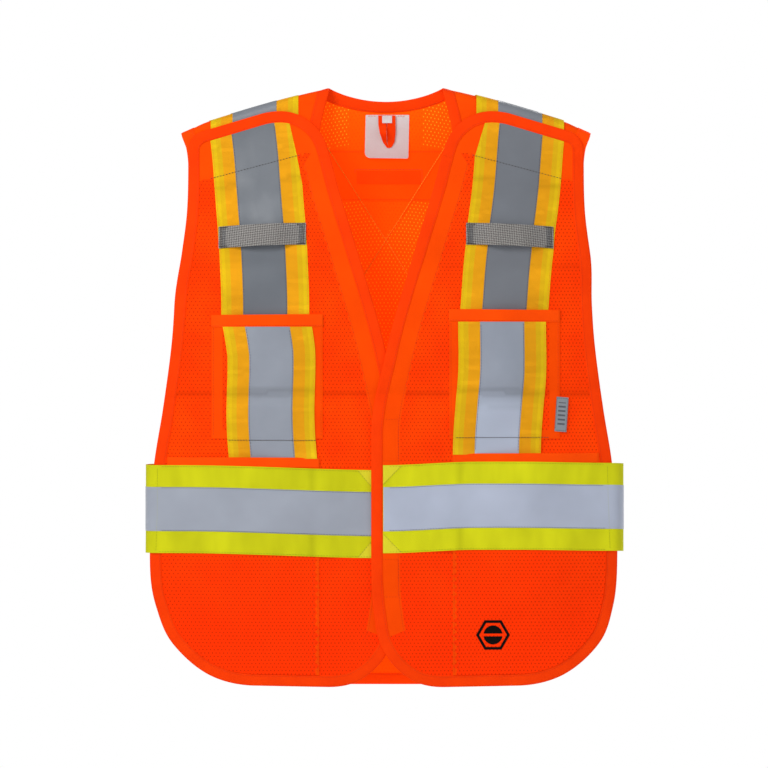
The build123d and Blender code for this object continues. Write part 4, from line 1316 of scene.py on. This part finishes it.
def arm_pieces(name, side, tape_off):
    """One arm of the crossed back tape: a flap part in front and a diagonal part behind."""
    middle = 154.0 + 1.6 * side
    lower_end = float(unfolded([(120.0, -446.0)])[0, 1])  # hidden by the waist tape
    keep = box_loop((-250, 250), (-1.0, lower_end))
    arm_uv, fore_uv = tape_uv(ARM_LINE), tape_uv([(middle, 60.0), (middle, -200.0)])
    material, rise = CHEST_TAPE, 0.0
    for kind, width, thick in (("tape", TAPE_WIDTH, 0.4), ("silver", SILVER_WIDTH, 0.3)):
        behind = unfolded(strip_loop(ARM_LINE, width))
        behind[:, 1] = np.maximum(behind[:, 1], 0.0)
        x0, x1 = middle - width / 2, middle + width / 2
        fore = loop_through([(x0, 0.4), (x1, 0.4), (x1, flap_foot(x1)), (x0, flap_foot(x0))])
        for part, loops, part_uv in (("behind", [behind, keep, OUTLINE], arm_uv),
                                     ("flap", [fore, OUTLINE], fore_uv)):

            def uv(x, t, part_uv=part_uv):
                return part_uv(side * x, height_of(x, t))

            piece = patch(f"back_{kind}_{name}_{part}", back_place, tape_off + rise, thick, [material],
                          [loop * (side, 1) for loop in loops], uv=uv, strip=width)
            slot = "yellow_tape" if kind == "tape" else "silver_tape"
            wear(piece, "back", [f"back_{kind}_{name}"], slot)
        material, rise = SILVERS["back", name], SILVER_RISE
    line = straight(ARM_LINE, 4.0)
    for reach, material, level in TAPE_SEAMS:
        for turn in (-1, 1):
            path = line + inward(line, False) * turn * reach
            path = unfolded(path[(path[:, 1] < -47) & (path[:, 1] > -436)]) * (side, 1)
            sewn("back", material, path, back_place, tape_off + level, BEHIND)
            if material is YELLOW_THREAD:
                sewn("back", material, path, back_place, -0.85, OUT, length=3.0, radius=0.55)


def flap_foot(x):
    """Unfolded place of the tape's end on a shoulder flap."""
    return float(unfolded([(x, -38.0 - 0.29 * (x - 90.0))], -1)[0, 1])


def back_extras():
    """The yoke patch inside the back with its slot, and the flaps' loop patches."""
    yoke = unfolded(box_loop((-75.0, 75.0), (-70.0, -129.0)))
    piece = patch("yoke", back_place, -0.42, 0.5, [INSIDE_SOLID], [yoke])
    wear(piece, "back", ["yoke_patch"], "orange_cloth")
    for z in (-72.0, -127.0):
        sewn("back", ORANGE_THREAD, unfolded(straight([(-74.0, z), (74.0, z)])), back_place, -0.75, OUT)
    slot = unfolded(box_loop((-34.0, 40.0), (-94.0, -109.0), 2.0))
    piece = patch("yoke_welt", back_place, -1.2, 0.6, [INSIDE_BIND], [slot], cell=3.0,
                  uv=lambda x, t: np.stack([x, t], -1))
    wear(piece, "back", ["yoke_welt"], "orange_binding")
    # Dark stitches on the slot's top and right edges only: painted shadow of the slot's edge, drawn as
    # stitching.
    slot_shadow_line = unfolded(box_loop((-36.0, 42.0), (-92.4, -110.6), 3.0))
    sewn("back", DARK_THREAD, slot_shadow_line[(slot_shadow_line[:, 1] < 108) | (slot_shadow_line[:, 0] > 41)],
         back_place, -0.8, OUT, radius=0.2)
    for name, side in SIDES.items():
        zone = loop_through([(106, -43), (212, -74), (208, -101), (200, -103), (106, -79)])
        zone = unfolded(zone, -1) * (side, 1)
        piece = patch(f"shoulder_loops_{name}", back_place, 1.65, 1.2, [LOOPS], [zone])
        wear(piece, "back", [f"shoulder_loop_{name}"], "loop_strip")
    waist_back()


def waist_back():
    """The waist tape and silver across the back."""
    def grid(x_end, half, off):
        x, v = np.meshgrid(np.linspace(-x_end, x_end, 110), np.linspace(-half, half, 15))
        z = WAIST_MIDDLE + v
        y = depth(x, WAIST_MIDDLE) + off + back_wave(x, z) * smooth((258.0 - np.abs(x)) / 60.0)
        return np.stack([x, y, z], -1), np.stack([v, x], -1)

    for node, x_end, half, off, thick, material, slot in (
            ("back_waist_tape", 258.0, TAPE_WIDTH / 2, 3.0, 0.4, WAIST_TAPES["left"], "yellow_tape"),
            ("back_waist_silver", 211.0, SILVER_WIDTH / 2, 3.5, 0.3, SILVERS["waist", "left"],
             "silver_tape")):
        top, uvs = grid(x_end, half, off + thick)
        bottom, _ = grid(x_end, half, off)
        piece = grid_shell(f"{node}_cloth", top, bottom, uvs, [material])
        piece["flat"] = [2 * half * MM, 2 * x_end * MM, 4 * half * x_end * MM * MM]
        wear(piece, "back", [node], slot)
    for half, off, material in ((24.6, 3.86, GREY_THREAD), (49.2, 3.42, LIME_THREAD)):
        top, _ = grid(211.0, half, off)
        for row in (0, -1):
            threads.sew("back", material, top[row], BEHIND)


# ---- neck pieces --------------------------------------------------------------------------
def inside_place(curl=0.0, top=0.0, reach=1.0):
    """Places cuttings on the inside of the back; they curl away from it towards their foot."""
    def place(x, z, off):
        lean = curl * smooth((top - z) / reach) ** 2
        return np.stack([x, depth(0 * x, z) + off - lean, z + 0 * x], -1)

    return place


def neck_pieces():
    """The care label, the hanging loop and the size label on it."""
    place = inside_place(2.4, -38.0, 43.0)
    loop = rounded([(0.0, -29.55), (27.0, -29.55), (26.0, -79.8), (-24.8, -79.0), (-23.6, -29.55),
                    (0.0, -29.55)], (1.0, 2.0, 6.0, 1.0))[:-1]
    label = patch("care_label", place, -1.4, 0.3, [LABEL], [loop])
    wear(label, "neck_label", ["neck_label"], "white_label")
    for x0, x1 in ((-22.0, -10.0), (12.0, 25.0)):
        sewn("neck_label", ORANGE_THREAD, straight([(x0, -31.0), (x1, -31.0)]), place, -1.62, OUT)
    bow = inside_bow()
    left = loop_through([(-9.0, -30.2), (0.4, -30.2), (0.7, -50.0), (0.9, -61.0), (3.2, -67.4),
                         (1.2, -67.6), (-3.6, -61.0), (-7.2, -51.0), (-8.8, -41.0)], 2.0)
    right = loop_through([(1.4, -30.2), (11.0, -30.2), (11.1, -52.0), (9.8, -61.0), (6.6, -66.6),
                          (3.3, -68.0), (1.6, -61.0), (1.2, -48.0)], 2.0)
    legs = [patch("hang_loop_left_leg", bow, -3.35, 0.6, [BIND], [left], cell=2.0),
            patch("hang_loop_right_leg", inside_place(), -3.35, 0.6, [BIND], [right], cell=2.0)]
    for leg in legs:
        wear(leg, "hang_loop", ["hang_loop"], "orange_binding")
    tab = patch("size_tab", inside_place(0.8, -32.0, 8.0), -4.2, 0.35, [LABEL],
                [rounded_box((-4.4, 7.0), (-30.5, -39.0), 0.6)], cell=2.0)
    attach(tab, "hang_loop")
    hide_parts("size_label")


def inside_bow():
    """The hanging loop's left leg bows forward between its seam and its foot."""
    flat_place = inside_place()

    def place(x, z, off):
        share = np.sin(np.pi * np.clip((-41.0 - z) / 21.0, 0, 1)) ** 2
        return flat_place(x, z, off - LOOP_BOW * 0.8 * share)

    return place


# ---- marks --------------------------------------------------------------------------------
def front_marks(body):
    """The woven tag in the chest pocket's seam and the badge printed on the lower pocket."""
    place = front_place(1, chest_pouch)
    centre, lean = np.array([203.5, -377.0]), math.radians(-4)
    turn = np.array([[math.cos(lean), math.sin(lean)], [-math.sin(lean), math.cos(lean)]])
    tag_loop = box_loop((-7.5, 7.5), (-20.0, 20.0), 2.5) @ turn + centre

    def tag_uv(x, z):
        return (np.stack([x, z], -1) - centre) @ turn.T

    piece = patch("woven_tag_cloth", place, 2.8, 0.4, [TAG], [tag_loop], uv=tag_uv, cell=3.0)
    wear(piece, body, ["woven_tag"], "woven_tag")
    rim = np.array([*tag_loop, tag_loop[0]])
    sewn(body, GREY_THREAD, (rim - centre) * 0.93 + centre, place, 3.05, OUT, pitch=2.2, length=1.6)
    place = front_place(1, lower_pouch)
    middle = np.array([123.5, -631.5])

    def hexagon(radius):
        turns = np.arange(7) * np.pi / 3
        return straight(np.stack([np.cos(turns), np.sin(turns)], -1) * radius + middle, 2.5)[:-1]

    ring_piece = patch("badge_ring", place, 2.42, 0.14, [PRINT], [hexagon(19.6)], [hexagon(16.0)],
                       cell=2.5)
    turns = np.linspace(0, 2 * np.pi, 41)[:-1]
    disc = np.stack([np.cos(turns), np.sin(turns)], -1) * 11.0 + middle
    bar = box_loop((middle[0] - 14, middle[0] + 14), (middle[1] - 1.6, middle[1] + 1.6), 2.0)
    disc_piece = patch("badge_disc", place, 2.42, 0.14, [PRINT], [disc], [bar], cell=2.5)
    for piece in (ring_piece, disc_piece):
        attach(piece, body)
        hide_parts("printed_badge")


# ---- build --------------------------------------------------------------------------------
for side_name, side_sign in SIDES.items():
    body_name = f"front_{side_name}"
    placing = front_cloth(side_name, side_sign, body_name)
    shoulder_hooks(side_name, body_name, placing)
    chest_tapes(side_name, side_sign, body_name, placing)
    mic_strap(side_name, side_sign, body_name)
    pocket_placing, mouth_top = chest_pocket(side_name, side_sign, body_name)
    pocket_tapes(side_name, side_sign, body_name, pocket_placing, mouth_top)
    lower_pocket(side_name, side_sign, body_name)
    closure(side_name, side_sign, body_name, placing)
    waist(side_name, side_sign, body_name)
    side_patches(side_name, side_sign)
back_cloth()
arm_pieces("left", -1, 1.2)
arm_pieces("right", 1, 2.2)
back_extras()
neck_pieces()
front_marks("front_right")
threads.finish()


# ---- stage --------------------------------------------------------------------------------
def floor():
    """A plain pale floor, well below the vest."""
    material = bpy.data.materials.new("floor")
    material.use_nodes = True
    shader = material.node_tree.nodes["Principled BSDF"]
    shader.inputs["Base Color"].default_value = (0.85, 0.85, 0.85, 1)
    shader.inputs["Roughness"].default_value = 0.9
    mesh = bpy.data.meshes.new("floor")
    reach, level = 3.5, -0.95
    mesh.from_pydata([(-reach, -reach, level), (reach, -reach, level), (reach, reach, level),
                      (-reach, reach, level)], [], [(0, 1, 2, 3)])
    mesh.materials.append(material)
    thing = bpy.data.objects.new("floor", mesh)
    bpy.context.scene.collection.objects.link(thing)


def lamp(name, place, target, size, power):
    data = bpy.data.lights.new(name, "AREA")
    data.size = size
    data.energy = power
    thing = bpy.data.objects.new(name, data)
    thing.location = place
    thing.rotation_euler = (Vector(target) - Vector(place)).to_track_quat("-Z", "Y").to_euler()
    bpy.context.scene.collection.objects.link(thing)


def studio():
    """White all round at eye level, dimmer above and below, and a key lamp from the upper left."""
    world = bpy.data.worlds.new("studio")
    bpy.context.scene.world = world
    world.use_nodes = True
    tree = world.node_tree
    place = tree.nodes.new("ShaderNodeTexCoord")
    split = tree.nodes.new("ShaderNodeSeparateXYZ")
    height = tree.nodes.new("ShaderNodeMath")
    height.operation = "ABSOLUTE"
    level = tree.nodes.new("ShaderNodeMapRange")
    for index, value in enumerate((0.16, 0.45, 1.0, 0.42), start=1):
        level.inputs[index].default_value = value
    tree.links.new(place.outputs["Generated"], split.inputs[0])
    tree.links.new(split.outputs[2], height.inputs[0])
    tree.links.new(height.outputs[0], level.inputs[0])
    ground = tree.nodes["Background"]
    ground.inputs["Color"].default_value = (1, 1, 1, 1)
    tree.links.new(level.outputs[0], ground.inputs["Strength"])
    middle = (0.0, 0.0, -0.25)
    lamp("key", (-1.1, -1.7, 1.05), middle, 0.9, 38.0)
    lamp("fill", (2.2, -2.2, 0.3), middle, 1.4, 6.0)
    lamp("behind", (0.9, 2.2, 1.1), middle, 1.2, 36.0)


def camera():
    """Square on to the front, far enough off to be nearly without perspective."""
    data = bpy.data.cameras.new("camera")
    distance, view_width, front_y = 12.0, 0.887, -0.05  # view_width is seen at the vest's front
    data.sensor_width = 36.0
    data.lens = data.sensor_width * (distance + front_y) / view_width
    data.clip_end = 60.0
    thing = bpy.data.objects.new("camera", data)
    thing.location = (-0.0023, -distance, -0.3419)
    thing.rotation_euler = (math.radians(90), 0.0, 0.0)
    bpy.context.scene.collection.objects.link(thing)
    bpy.context.scene.camera = thing


floor()
studio()
camera()
bpy.context.scene.view_settings.view_transform = "Standard"
